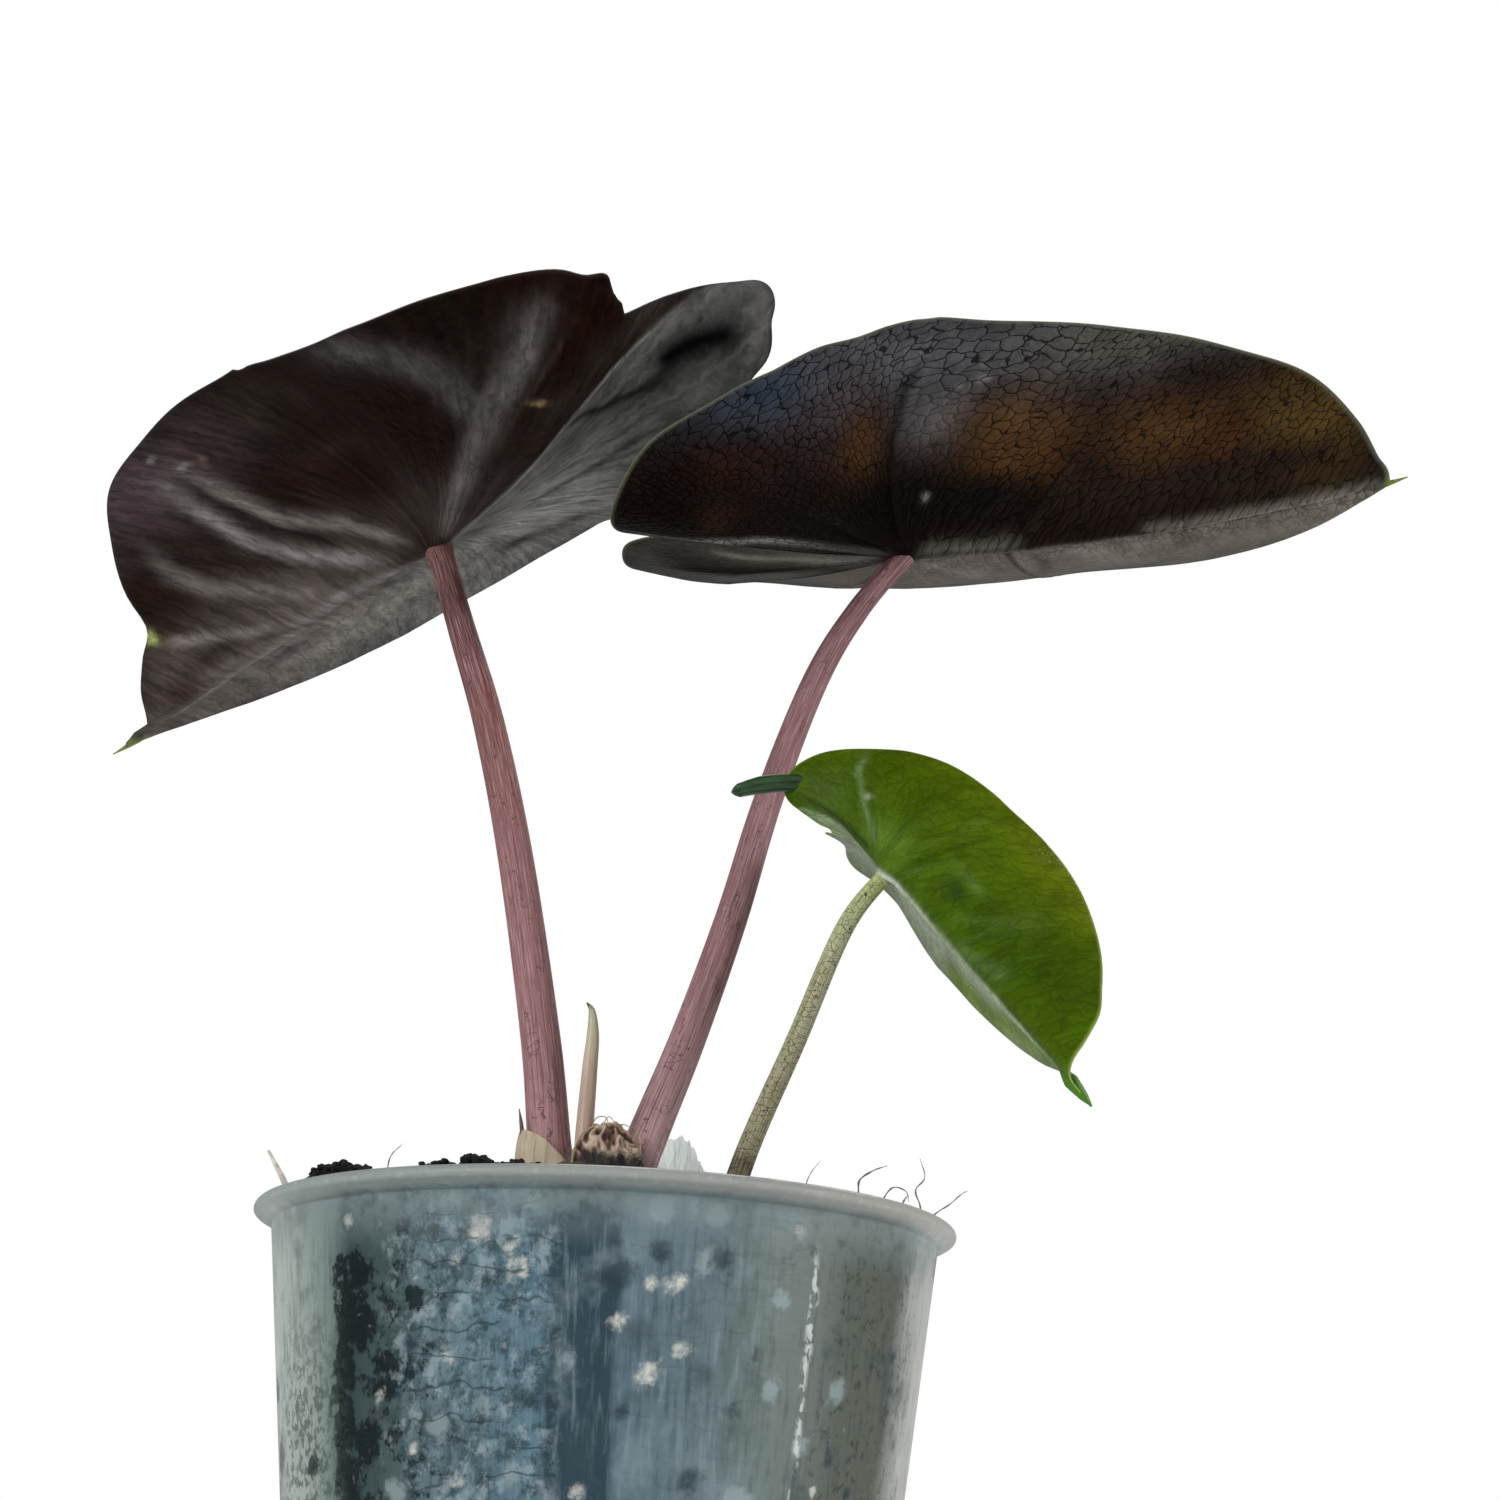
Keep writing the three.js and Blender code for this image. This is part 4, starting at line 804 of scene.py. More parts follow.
def leafColourAndLight(leaf, x, y):
    # the skin's colour with painted sheen, painted glow and painted shade laid in by the patches, edges and
    # streaks, and as its fourth part how strongly the net of veins shows
    tint = np.tile(np.array(leaf["base"], float), (len(x), 1))
    wander = latticeNoise(np.stack([x, y], axis=1) / 9.0, seed=5)

    def paint(share, colour):
        tint[:] += share[:, None] * (np.array(colour) - tint)

    for (cx, cy), (rx, ry), colour, strength in leaf["patches"]:
        away = ((x - cx) / rx) ** 2 + ((y - cy) / ry) ** 2
        paint(strength * np.exp(-away * (1 + 0.35 * wander)), colour)
    for line, (left, right), colour, strength in leaf["edges"]:
        away, _ = polylineDistance(x, y, line)
        paint(strength * np.exp(-(away / np.where(away > 0, left, right)) ** 2), colour)
    for line, (first, last), colour, strength, _ in leaf["streaks"]:
        away, along = polylineDistance(x, y, line)
        width = first + (last - first) * along
        ends = smoothStep(along / 0.15 + 0.3) * smoothStep((1 - along) / 0.35 + 0.15)
        paint(strength * ends * np.exp(-(away / width) ** 2), colour)
    for (cx, cy), (rx, ry), colour in leaf["specks"]:
        paint(np.exp(-(((x - cx) / rx) ** 2 + ((y - cy) / ry) ** 2)), colour)
    net = np.ones(len(x))
    for (cx, cy), (rx, ry), strength in leaf["plain"]:
        net *= 1 - strength * np.exp(-((x - cx) / rx) ** 4 - ((y - cy) / ry) ** 4)
    return np.column_stack([tint, net])


rolledTail = {
    "path": [(33.5, -15.6, 151.2), (28.5, -16.6, 151.9), (23.5, -17, 151.9), (19, -17, 151.3),
             (14.8, -17, 150.0)],
    "radii": (0.25, 0.8, 1.15, 1.3, 1.0),
    "colour": (0.008, 0.028, 0.009),
}


def dripTube(leaf):
    # the fleshy end of the midrib: it thickens out of the blade, then narrows to the drip tip
    share = np.linspace(0, 1, 48)
    x = leaf["front"] - 4.0 + (leaf["drip"] + 4.0) * share
    middle = bladePoints(leaf, x, bowTip(leaf, x, 0.0 * x + 1e-3))
    centres = middle @ leafFrame(leaf) + np.array(leaf["joint"], float)
    radii = np.interp(share, (0.0, 0.3, 0.65, 1.0), leaf["tipRadii"])
    paint = leafColourAndLight(leaf, x, 0.0 * x + 0.5)
    return {"centres": centres, "radii": radii, "x": x, "wobble": None, "material": 0, "paint": paint}


def tailTube(tail):
    # the rolled lobe end: a tube with a groove along it
    centres = curvePoints(tail["path"], 12)
    along = np.linspace(0, 1, len(centres))
    radii = np.interp(along, np.linspace(0, 1, len(tail["radii"])), tail["radii"])
    radii = radii * np.sqrt(np.clip((1 - along) / 0.06, 0.02, 1))

    def groove(angle, share):
        near = (np.mod(angle - 1.2, 2 * np.pi) - np.pi) / 0.35
        return 0.14 * np.cos(2 * angle + 3 * share) - 0.3 * np.exp(-(near ** 2))

    paint = np.tile((*tail["colour"], 0.0), (len(centres), 1))
    blank = 0 * along
    return {"centres": centres, "radii": radii, "x": blank, "wobble": groove, "material": 3, "paint": paint}


def addTube(points, faceSets, fields, colours, tube):
    # joins a tube to a leaf's mesh, with its own place along the leaf and its own tint
    sides = 28
    skin, faces = tubeSkin(tube["centres"], tube["radii"], sides, tube["wobble"])
    start = len(points)
    faceSets = faceSets + [(rows + start, tube["material"]) for rows, _ in faces]
    blank = np.zeros((len(skin), 3))
    fields = {key: np.vstack([values, blank]) for key, values in fields.items()}
    fields["leafPlace"][start:, 0] = np.concatenate([np.repeat(tube["x"], sides), tube["x"][[0, -1]]])
    tints = np.vstack([np.repeat(tube["paint"], sides, axis=0), tube["paint"][[0, -1]]])
    return np.vstack([points, skin]), faceSets, fields, {"tint": np.vstack([colours["tint"], tints])}


def makeLeaf(name, leaf, materials, node, tubes):
    # rays from the joint to the margin, the same for the upper and the lower skin, closed round the margin
    margin = np.vstack([halfOutline(leaf, 0), halfOutline(leaf, 1)[1:-1][::-1]])
    count = len(margin)
    rings = leafParts["rings"]
    shares = np.arange(1, rings + 1) / rings
    flat = np.vstack([[[1e-3, 1e-3]], (shares[:, None, None] * margin[None]).reshape(-1, 2)])
    x, y = flat[:, 0], flat[:, 1]
    reach = np.concatenate([[0.0], np.repeat(shares, count)])
    mainRib, sideRib, number, growth = ribDistances(leaf, x, y)
    bowed = bowTip(leaf, x, y)
    middle = bladePoints(leaf, x, bowed, 1 - reach ** 4)
    normal = bladeNormals(leaf, x, bowed)

    # folds that carry the drawn streaks, and fine wrinkles that run with the side ribs
    lift = np.zeros(len(x))
    for line, (first, last), _, _, height in leaf["streaks"]:
        away, along = polylineDistance(x, y, line)
        width = 1.3 * (first + (last - first) * along)
        lift -= height * smoothStep(along * 4) * smoothStep((1 - along) * 3) * np.exp(-(away / width) ** 2)
    runs = np.stack([number * leaf["ribSpacing"] / 2.2, np.abs(y) / 16.0], axis=1)
    lift += leaf["wrinkles"] * layeredNoise(runs, seed=9) * smoothStep(reach * 4)
    lift *= 1 - 0.85 * reach ** 6
    lift += 0.25 * layeredNoise(flat / 14.0, seed=3) * smoothStep(reach * 3)
    for (cx, cy), (rx, ry), push in leaf["dents"]:
        lift += push * np.exp(-((x - cx) / rx) ** 2 - ((y - cy) / ry) ** 2)
    middle = middle + lift[:, None] * normal

    # the lower skin stands out along the ribs and round the joint
    fade = np.clip(1 - reach, 0, 1)
    mainHeight, sideHeight = leaf["ribHeights"]
    ribs = mainHeight * fade ** 0.8 * np.exp(-(mainRib / (0.35 + 1.0 * fade)) ** 2)
    ribs = np.maximum(ribs, sideHeight * fade ** 0.9 * np.exp(-(sideRib / (0.3 + 0.5 * fade)) ** 2))
    boss = 1.5 * np.exp(-((x ** 2 + y ** 2) / 9.0))
    thick = between(leafParts["halfThickness"], reach ** 2)
    upper = middle + (thick + 0.12 * ribs)[:, None] * normal
    lower = middle - (thick + np.maximum(ribs, boss))[:, None] * normal
    rim = middle[-count:] + 0.12 * (middle[-count:] - middle[-2 * count:-count])
    points = np.vstack([upper, lower, rim]) @ leafFrame(leaf) + np.array(leaf["joint"], float)
    under = len(flat)
    rimStart = 2 * under
    lastUpper = 1 + (rings - 1) * count
    lastLower = under + lastUpper

    def strip(a, b):
        i = np.arange(count)
        j = (i + 1) % count
        return np.stack([a + i, b + i, b + j, a + j], axis=1)

    faceSets = [
        (gridFaces(rings, count, start=1, flip=True), 1),
        (gridFaces(rings, count, start=under + 1), 0),
        (fanFaces(0, 1, count), 1),
        (fanFaces(under, under + 1, count, flip=True), 0),
        (strip(lastUpper, rimStart), 2),
        (strip(rimStart, lastLower), 2),
    ]
    tint = leafColourAndLight(leaf, x, y)
    netU, netV = netPlaces(leaf, x, y, number)

    def both(values):
        return np.concatenate([values, values, values[-count:]])

    fields = {
        "leafPlace": np.stack([both(x), both(y), both(reach)], axis=1),
        "veinPlace": np.stack([both(number), both(growth), both(mainRib)], axis=1),
        "netPlace": np.stack([both(netU), both(netV), both(np.where(y < 0, 50.0, 0.0))], axis=1),
    }
    colours = {"tint": np.concatenate([tint, tint, tint[-count:]])}
    for tube in tubes:
        points, faceSets, fields, colours = addTube(points, faceSets, fields, colours, tube)
    dress(buildPiece(name, points, faceSets, materials, fields, colours), node)


# Leaf skins. netSize counts the coarse and the fine net's meshes in each unit of the net's own place.

darkNetLook = {
    "netSize": (1.25, 2.4), "sway": 0.7, "netDepth": 0.85, "runDepth": 0.16, "ribDepth": 0.6, "mottle": 0.1,
    "tipSoft": 2.0,
    "ribColour": (0.003, 0.002, 0.0015),
    "rimColour": (0.10, 0.105, 0.07), "rimDepth": 0.55, "tipColour": (0.10, 0.15, 0.02),
    "roughness": 0.42, "specular": 0.02, "bump": 0.00035,
    "upperColour": (0.018, 0.038, 0.020), "upperVein": (0.20, 0.26, 0.20),
}
# the left leaf's look: its grey, pale ribs included, is painted sheen
greySheenLook = {
    "netSize": (0.6, 1.2), "sway": 1.2, "netDepth": 0.05, "runDepth": 0.45, "ribDepth": 0.04, "mottle": 0.03,
    "tipSoft": 5.0,
    "ribColour": (0.10, 0.095, 0.09),
    "rimColour": (0.03, 0.024, 0.02), "rimDepth": 0.4, "tipColour": (0.16, 0.19, 0.05),
    "roughness": 0.5, "specular": 0.02, "bump": 0.0003,
    "upperColour": (0.017, 0.036, 0.020), "upperVein": (0.19, 0.25, 0.19),
}
greenLook = {
    "netSize": (0.8, 1.6), "sway": 1.0, "netDepth": 0.2, "runDepth": 0.07, "ribDepth": 0.35, "mottle": 0.12,
    "tipSoft": 5.0,
    "ribColour": (0.02, 0.05, 0.003),
    "rimColour": (0.20, 0.26, 0.04), "rimDepth": 0.6, "tipColour": (0.06, 0.16, 0.015),
    "roughness": 0.4, "specular": 0.05, "bump": 0.00025,
    "upperColour": (0.03, 0.09, 0.02), "upperVein": (0.28, 0.36, 0.2),
}


def netLines(tree, place, sway, size, width):
    # cells whose borders are bent by the sway; the value is 1 on a border and 0 inside a mesh
    bent = addNode(tree, "VectorMath", {0: place, 1: sway}, operation="ADD").outputs[0]
    edge = cells(tree, bent, size)
    return softEdge(tree, edge, 0.25 * width, width, 1.0, 0.0), edge


def veinLines(tree, look):
    # the net of fine veins: a coarse net with dark borders, and a finer one with faint borders inside it
    x, y, reach = split(tree, placeOf(tree, "leafPlace"))
    number, growth, mainRib = split(tree, placeOf(tree, "veinPlace"))
    flat = joined(tree, x, y)
    place = placeOf(tree, "netPlace")
    waver = addNode(tree, "TexNoise", {"Vector": flat, "Scale": 0.42, "Detail": 1.5, "Roughness": 0.5})
    sway = addNode(tree, "VectorMath", {0: waver.outputs["Color"], 1: (-0.5, -0.5, -0.5)},
                   operation="ADD").outputs[0]
    sway = addNode(tree, "VectorMath", {0: sway, "Scale": look["sway"]}, operation="SCALE").outputs["Vector"]
    coarse, coarseEdge = netLines(tree, place, sway, look["netSize"][0], 0.08)
    fine, _ = netLines(tree, place, sway, look["netSize"][1], 0.09)
    faint = softEdge(tree, cloudy(tree, flat, 0.3, 2.0), 0.35, 0.65, 0.05, 0.4)
    net = larger(tree, coarse, times(tree, fine, faint))
    whole = calculate(tree, "SUBTRACT", calculate(tree, "FRACT", plus(tree, number, 0.5)), 0.5)
    gap = calculate(tree, "DIVIDE", calculate(tree, "ABSOLUTE", whole), growth)
    ribWidth = scaled(tree, reach, -0.75, 0.95)
    sideLine = softEdge(tree, calculate(tree, "DIVIDE", gap, ribWidth), 0.2, 1.0, 1.0, 0.0)
    mainLine = softEdge(tree, calculate(tree, "DIVIDE", mainRib, ribWidth), 0.5, 1.5, 1.0, 0.0)
    ribLine = larger(tree, sideLine, mainLine)
    fade = softEdge(tree, reach, 0.3, 0.85, 1.0, 0.05)
    runs = addNode(tree, "VectorMath", {0: place, 1: sway}, operation="ADD").outputs[0]
    runs = cloudy(tree, stretched(tree, runs, (1.5, 0.22, 1.0)), 1.0, 5.0, 0.65)
    return flat, reach, net, times(tree, ribLine, fade), coarseEdge, runs


def leafUnder(name, look):
    material, tree, shader = newMaterial(
        name, Roughness=look["roughness"], Specular_IOR_Level=look["specular"])
    flat, reach, netLine, ribLine, edge, runs = veinLines(tree, look)
    # the tint holds the leaf's own colour together with its painted sheen, glow and shade
    paint = addNode(tree, "Attribute", {}, attribute_name="tint")
    tint = paint.outputs["Color"]
    mottle = look["mottle"]
    grain = softEdge(tree, cloudy(tree, flat, 2.2, 4.0), 0.25, 0.75, 1 - mottle, 1 + mottle)
    patchy = softEdge(tree, cloudy(tree, flat, 0.16, 3.0), 0.3, 0.7, 0.84, 1.16)
    shade = times(tree, grain, patchy)
    streaky = softEdge(tree, runs, 0.3, 0.7, 1 - look["runDepth"], 1 + look["runDepth"])
    shade = times(tree, shade, streaky)
    netShare = times(tree, netLine, paint.outputs["Alpha"])
    darker = scaled(tree, netShare, -look["netDepth"], 1.0)
    shade = times(tree, shade, darker)
    colour = mixColours(tree, 1.0, tint, joined(tree, shade, shade, shade), "MULTIPLY")
    colour = overlay(tree, colour, ribLine, look["ribColour"], look["ribDepth"])
    tip = softEdge(tree, split(tree, flat)[0], look["tipStart"], look["tipStart"] + look["tipSoft"])
    colour = overlay(tree, colour, tip, look["tipColour"])
    rim = softEdge(tree, reach, 0.985, 1.0, 0.0, look["rimDepth"])
    colour = overlay(tree, colour, rim, look["rimColour"])
    tree.links.new(colour, shader.inputs["Base Color"])
    height = plus(tree, times(tree, softEdge(tree, edge, 0.0, 0.3), 0.7),
                  times(tree, cloudy(tree, flat, 3.0, 3.0), 0.4))
    height = scaled(tree, runs, 2.5 * look["runDepth"], height)
    roughen(tree, shader, height, look["bump"], 0.6)
    return material


def leafUpper(name, look):
    material, tree, shader = newMaterial(
        name, Roughness=0.28, Specular_IOR_Level=0.5, Coat_Weight=0.15, Coat_Roughness=0.2)
    flat, _, netLine, ribLine, edge, _ = veinLines(tree, look)
    patchy = cloudy(tree, flat, 0.1, 4.0)
    base = mixColours(tree, patchy, look["upperColour"], shaded(look["upperColour"], 1.7))
    base = overlay(tree, base, netLine, shaded(look["upperColour"], 0.5), 0.35)
    base = overlay(tree, base, ribLine, look["upperVein"], 0.8)
    tree.links.new(base, shader.inputs["Base Color"])
    height = plus(tree, softEdge(tree, edge, 0.0, 0.35), times(tree, cloudy(tree, flat, 0.3, 3.0), 2.0))
    roughen(tree, shader, height, 0.00018, 0.5)
    return material


def leafRim(name, look):
    material, tree, shader = newMaterial(name, Roughness=0.45)
    shade = cloudy(tree, placeOf(tree, "leafPlace"), 0.4, 2.0)
    colour = mixColours(tree, shade, look["rimColour"], shaded(look["rimColour"], 0.6))
    tree.links.new(colour, shader.inputs["Base Color"])
    return material


def tailSkin(name):
    material, tree, shader = newMaterial(name, Roughness=0.4, Specular_IOR_Level=0.35)
    shade = cloudy(tree, stretched(tree, placeOf(tree), (300.0, 900.0, 900.0)), 1.0, 3.0)
    colour = colourStops(tree, shade, [(0.3, (0.004, 0.018, 0.005)), (0.7, (0.018, 0.055, 0.014))])
    tree.links.new(colour, shader.inputs["Base Color"])
    roughen(tree, shader, shade, 0.0002, 0.5)
    return material


leafJobs = [
    ("leafLeft", leftLeaf, greySheenLook, "dark_leaf", "leaf_left", []),
    ("leafRight", rightLeaf, darkNetLook, "dark_leaf", "leaf_right", []),
    ("leafSmall", smallLeaf, greenLook, "green_leaf", "leaf_small", [tailTube(rolledTail)]),
]
for pieceName, leaf, look, slotName, node, tubes in leafJobs:
    look["tipStart"] = leaf["front"] + 1.5 - look["tipSoft"]
    skins = [leafUnder(pieceName + "Under", look), leafUpper(pieceName + "Upper", look),
             leafRim(pieceName + "Rim", look)]
    if tubes:
        skins.append(tailSkin(pieceName + "Tail"))
    makeLeaf(pieceName, leaf, skins, node, [dripTube(leaf), *tubes])
print("leaves made")

# Stems, shoot and root tip

stems = {
    "stemLeft": {
        "path": [(-6.5, -3.5, 88), (-8.5, -2, 98), (-11, 0.5, 116), (-16.5, 5, 144.5), (-22, 8, 166.5),
                 (-27.5, 10, 183), (-32.5, 12, 197.5)],
        "foot": 3.4, "top": 1.9, "swell": 0.6, "leaf": leftLeaf,
        "slot": "pink_stem", "node": "stem_left",
    },
    "stemRight": {
        "path": [(1, 1.4, 88), (4.5, 1.4, 100.5), (10.5, 2, 117.5), (16.2, 2.5, 136), (21.2, 1.5, 155),
                 (27.6, -0.5, 173.5), (33.6, -2.5, 184.5), (40.6, -4, 193.5)],
        "foot": 3.1, "top": 1.5, "swell": 0.9, "leaf": rightLeaf,
        "slot": "pink_stem", "node": "stem_right",
    },
    "stemSmall": {
        "path": [(14.5, -10.5, 82), (18.7, -14, 97.5), (25.1, -19, 113.5), (31.2, -23.5, 129),
                 (36.6, -26, 136.5)],
        "foot": 1.7, "top": 1.15, "swell": 0.5, "leaf": smallLeaf,
        "slot": "pale_stem", "node": "stem_small",
    },
}
stemGrain = {"ribs": 17, "ribHeight": 0.012, "sides": 64}


def makeStem(name, stem, material):
    # the radius falls evenly from foot to top, with a swollen foot and a small flare at the blade
    knots = list(stem["path"])
    normal = leafFrame(stem["leaf"])[2]
    knots[-1] = tuple(np.array(stem["leaf"]["joint"], float) - 0.3 * normal)
    centres = curvePoints(knots, 26)
    t = np.linspace(0, 1, len(centres))
    radii = stem["foot"] + (stem["top"] - stem["foot"]) * t + stem["swell"] * np.exp(-t / 0.08)
    radii = radii * (1 + 0.22 * smoothStep((t - 0.95) / 0.05))
    length = np.concatenate([[0], np.cumsum(np.linalg.norm(np.diff(centres, axis=0), axis=1))])

    def fluted(angle, share):
        waves = np.cos(stemGrain["ribs"] * angle + 2.0 * share) + 0.5 * np.cos(9 * angle + 4.0 - 3.0 * share)
        return stemGrain["ribHeight"] * waves

    sides = stemGrain["sides"]
    points, faces = tubeSkin(centres, radii, sides, fluted)
    turn = np.linspace(0, 2 * np.pi, sides, endpoint=False)
    around = onCircle(stem["foot"], turn[None, :], length[:, None]).reshape(-1, 3)
    around = np.vstack([around, [[0, 0, 0], [0, 0, length[-1]]]])
    share = np.concatenate([np.repeat(t, sides), [0, 1]])
    fields = {"stemPlace": around, "stemShare": asField(share)}
    dress(buildPiece(name, points, faces, [material], fields), stem["node"])


def stemSkin(name, lengthwise, dark, pale, fleckDensity, roughness=0.5):
    # lengthwise stripes, short cross ticks and scattered dark flecks
    material, tree, shader = newMaterial(name, Roughness=roughness, Specular_IOR_Level=0.35)
    place = placeOf(tree, "stemPlace")
    share = split(tree, placeOf(tree, "stemShare"))[0]
    stripes = cloudy(tree, stretched(tree, place, (3.6, 3.6, 0.06)), 1.0, 3.0, 0.6)
    fineStripes = cloudy(tree, stretched(tree, place, (6.5, 6.5, 0.16)), 1.0, 3.0)
    mottle = cloudy(tree, place, 0.35, 3.0)
    colour = colourStops(tree, share, lengthwise)
    colour = overlay(tree, colour, softEdge(tree, stripes, 0.52, 0.62, 0.0, 0.7), dark)
    colour = overlay(tree, colour, softEdge(tree, fineStripes, 0.50, 0.64, 0.0, 0.45), pale)
    colour = overlay(tree, colour, softEdge(tree, mottle, 0.5, 0.8, 0.0, 0.35), dark)
    ticks = cells(tree, stretched(tree, place, (0.55, 0.55, 1.1)), 1.0)
    tickPlace = cloudy(tree, stretched(tree, place, (0.5, 0.5, 0.3), (7.0, 3.0, 1.0)), 1.0, 2.0)
    tickLine = times(tree, softEdge(tree, ticks, 0.0, 0.045, 1.0, 0.0),
                     softEdge(tree, tickPlace, 0.62 - 0.14 * fleckDensity, 0.68 - 0.12 * fleckDensity))
    colour = overlay(tree, colour, tickLine, shaded(dark, 0.18), 0.75)
    spots = addNode(tree, "TexVoronoi", {"Vector": stretched(tree, place, (1.0, 1.0, 0.7)), "Scale": 0.9},
                    feature="F1").outputs["Distance"]
    spotPlace = cloudy(tree, place, 0.22, 2.0)
    spotLine = times(tree, softEdge(tree, spots, 0.10, 0.2, 1.0, 0.0),
                     softEdge(tree, spotPlace, 0.64 - 0.14 * fleckDensity, 0.68 - 0.12 * fleckDensity))
    colour = overlay(tree, colour, spotLine, shaded(dark, 0.12), 0.85)
    tree.links.new(colour, shader.inputs["Base Color"])
    height = calculate(tree, "SUBTRACT", fineStripes, times(tree, tickLine, 0.5))
    roughen(tree, shader, height, 0.00025, 0.7)
    return material


leftSkin = stemSkin("pinkStemSkin", [(0.0, (0.44, 0.25, 0.25)), (0.14, (0.36, 0.185, 0.19)),
                                     (0.4, (0.24, 0.105, 0.108)), (0.7, (0.125, 0.036, 0.034)),
                                     (0.88, (0.050, 0.009, 0.008)), (0.97, (0.085, 0.022, 0.013))],
                    (0.10, 0.028, 0.030), (0.54, 0.34, 0.34), 0.4)
rightSkin = stemSkin("rosyStemSkin", [(0.0, (0.52, 0.36, 0.37)), (0.15, (0.40, 0.235, 0.245)),
                                      (0.35, (0.23, 0.108, 0.116)), (0.7, (0.165, 0.070, 0.072)),
                                      (1.0, (0.10, 0.034, 0.034))],
                     (0.085, 0.026, 0.030), (0.54, 0.36, 0.38), 0.5)
paleSkin = stemSkin("paleStemSkin", [(0.0, (0.04, 0.026, 0.014)), (0.245, (0.05, 0.034, 0.018)),
                                     (0.27, (0.27, 0.24, 0.15)), (0.7, (0.37, 0.38, 0.22)),
                                     (1.0, (0.34, 0.43, 0.13))],
                    (0.17, 0.15, 0.06), (0.48, 0.47, 0.33), 1.9)
for (name, stem), skin in zip(stems.items(), (leftSkin, rightSkin, paleSkin)):
    makeStem(name, stem, skin)

shoot = {
    "path": [(-3.8, -5.5, 96), (-3.9, -5.2, 101), (-3.6, -4.8, 111), (-3.4, -4.6, 116), (-3.7, -4.6, 119.5),
             (-4.5, -4.6, 120.8)],
    "radii": (1.35, 1.3, 1.1, 0.9, 0.5, 0.12),
}
rootTip = {
    "path": [(-42, -4, 84), (-44.6, -4.6, 90.5), (-46.2, -5, 93.5), (-48.4, -5, 97.2)],
    "radii": (0.45, 0.45, 0.42, 0.2),
}


def makeTube(name, tube, material, node, sides=32, perSpan=14, wobble=None):
    centres = curvePoints(tube["path"], perSpan)
    t = np.linspace(0, 1, len(centres))
    radii = np.interp(t, np.linspace(0, 1, len(tube["radii"])), tube["radii"])
    points, faces = tubeSkin(centres, radii, sides, wobble)
    share = np.concatenate([np.repeat(t, sides), [0, 1]])
    piece = buildPiece(name, points, faces, [material], {"stemShare": asField(share)})
    dress(piece, node)


def shootSkin():
    material, tree, shader = newMaterial("shootSkin", Roughness=0.45, Specular_IOR_Level=0.4)
    share = split(tree, placeOf(tree, "stemShare"))[0]
    body = colourStops(tree, share, [
        (0.0, (0.40, 0.24, 0.22)), (0.35, (0.46, 0.33, 0.26)), (0.6, (0.42, 0.38, 0.26)),
        (0.82, (0.34, 0.35, 0.22)), (0.9, (0.12, 0.10, 0.06)), (0.94, (0.02, 0.015, 0.012))])
    stripes = cloudy(tree, stretched(tree, placeOf(tree), (1600.0, 1600.0, 60.0)), 1.0, 3.0)
    colour = overlay(tree, body, softEdge(tree, stripes, 0.45, 0.7, 0.0, 0.35), (0.22, 0.17, 0.12))
    spots = addNode(tree, "TexVoronoi", {"Vector": placeOf(tree), "Scale": 520.0}).outputs["Distance"]
    spotPlace = cloudy(tree, placeOf(tree), 300.0, 1.0)
    marks = times(tree, softEdge(tree, spots, 0.10, 0.18, 0.8, 0.0), softEdge(tree, spotPlace, 0.58, 0.62))
    colour = overlay(tree, colour, marks, (0.05, 0.035, 0.02))
    tree.links.new(colour, shader.inputs["Base Color"])
    roughen(tree, shader, stripes, 0.0002, 0.6)
    return material


def rootSkin():
    material, tree, shader = newMaterial("rootSkin", Roughness=0.6)
    share = cloudy(tree, placeOf(tree), 900.0, 3.0)
    colour = colourStops(tree, share, [(0.3, (0.34, 0.31, 0.24)), (0.7, (0.62, 0.60, 0.52))])
    tree.links.new(colour, shader.inputs["Base Color"])
    roughen(tree, shader, share, 0.0002, 0.5)
    return material


makeTube("youngShoot", shoot, shootSkin(), "shoot",
         wobble=lambda a, t: 0.03 * np.cos(7 * a + 2 * t))
rootMaterial = rootSkin()
makeTube("whiteRootTip", rootTip, rootMaterial, "root_tip", sides=16,
         wobble=lambda a, t: 0.12 * np.cos(3 * a + 9 * t))
print("stems, shoot and root tip made")

# Crown and dry sheaths

crown = {
    "centre": (-2.5, -1.5, 87.5), "radii": (14, 11.5, 12), "rows": 48, "columns": 72,
    "lumps": 0.7, "folds": 0.0, "foldCount": 5,
}
# a crumpled husk between the shoot and the right stem
husk = {
    "centre": (-0.6, -5.9, 95.6), "radii": (5.3, 3.2, 7.4), "rows": 90, "columns": 160,
    "lumps": 0.6, "folds": 0.6, "foldCount": 5,
}
scrapParts = {
    "base": 94.0,
    "thickness": 0.3,
    # axis and radius of the wall, between which angles, its height along them, how far the top closes in
    "scraps": {
        "left": {"axis": (-8.7, -2.4), "lean": (0.2, -0.2), "radius": 5.0, "from": 120, "to": 325,
                 "heights": (4.5, 6.8, 7.4, 7.9, 7.7, 6.8, 5.2, 3.2, 1.4), "close": 0.3,
                 "torn": 0.2, "tint": (0.44, 0.36, 0.25)},
        "right": {"axis": (6.4, 0.0), "lean": (2.4, -0.4), "radius": 5.0, "from": 262, "to": 385,
                  "heights": (7.0, 7.8, 7.3, 5.6, 4.3, 3.4, 2.8, 1.4), "close": 0.2,
                  "torn": 0.36, "tint": (0.80, 0.85, 0.83)},
        "back": {"axis": (0.5, 3.5), "lean": (0.4, 0.6), "radius": 5.2, "from": 20, "to": 160, "close": 0.8,
                 "heights": (3.0, 5.6, 6.6, 5.0, 6.0, 3.4), "torn": 0.5, "tint": (0.30, 0.22, 0.14)},
    },
}
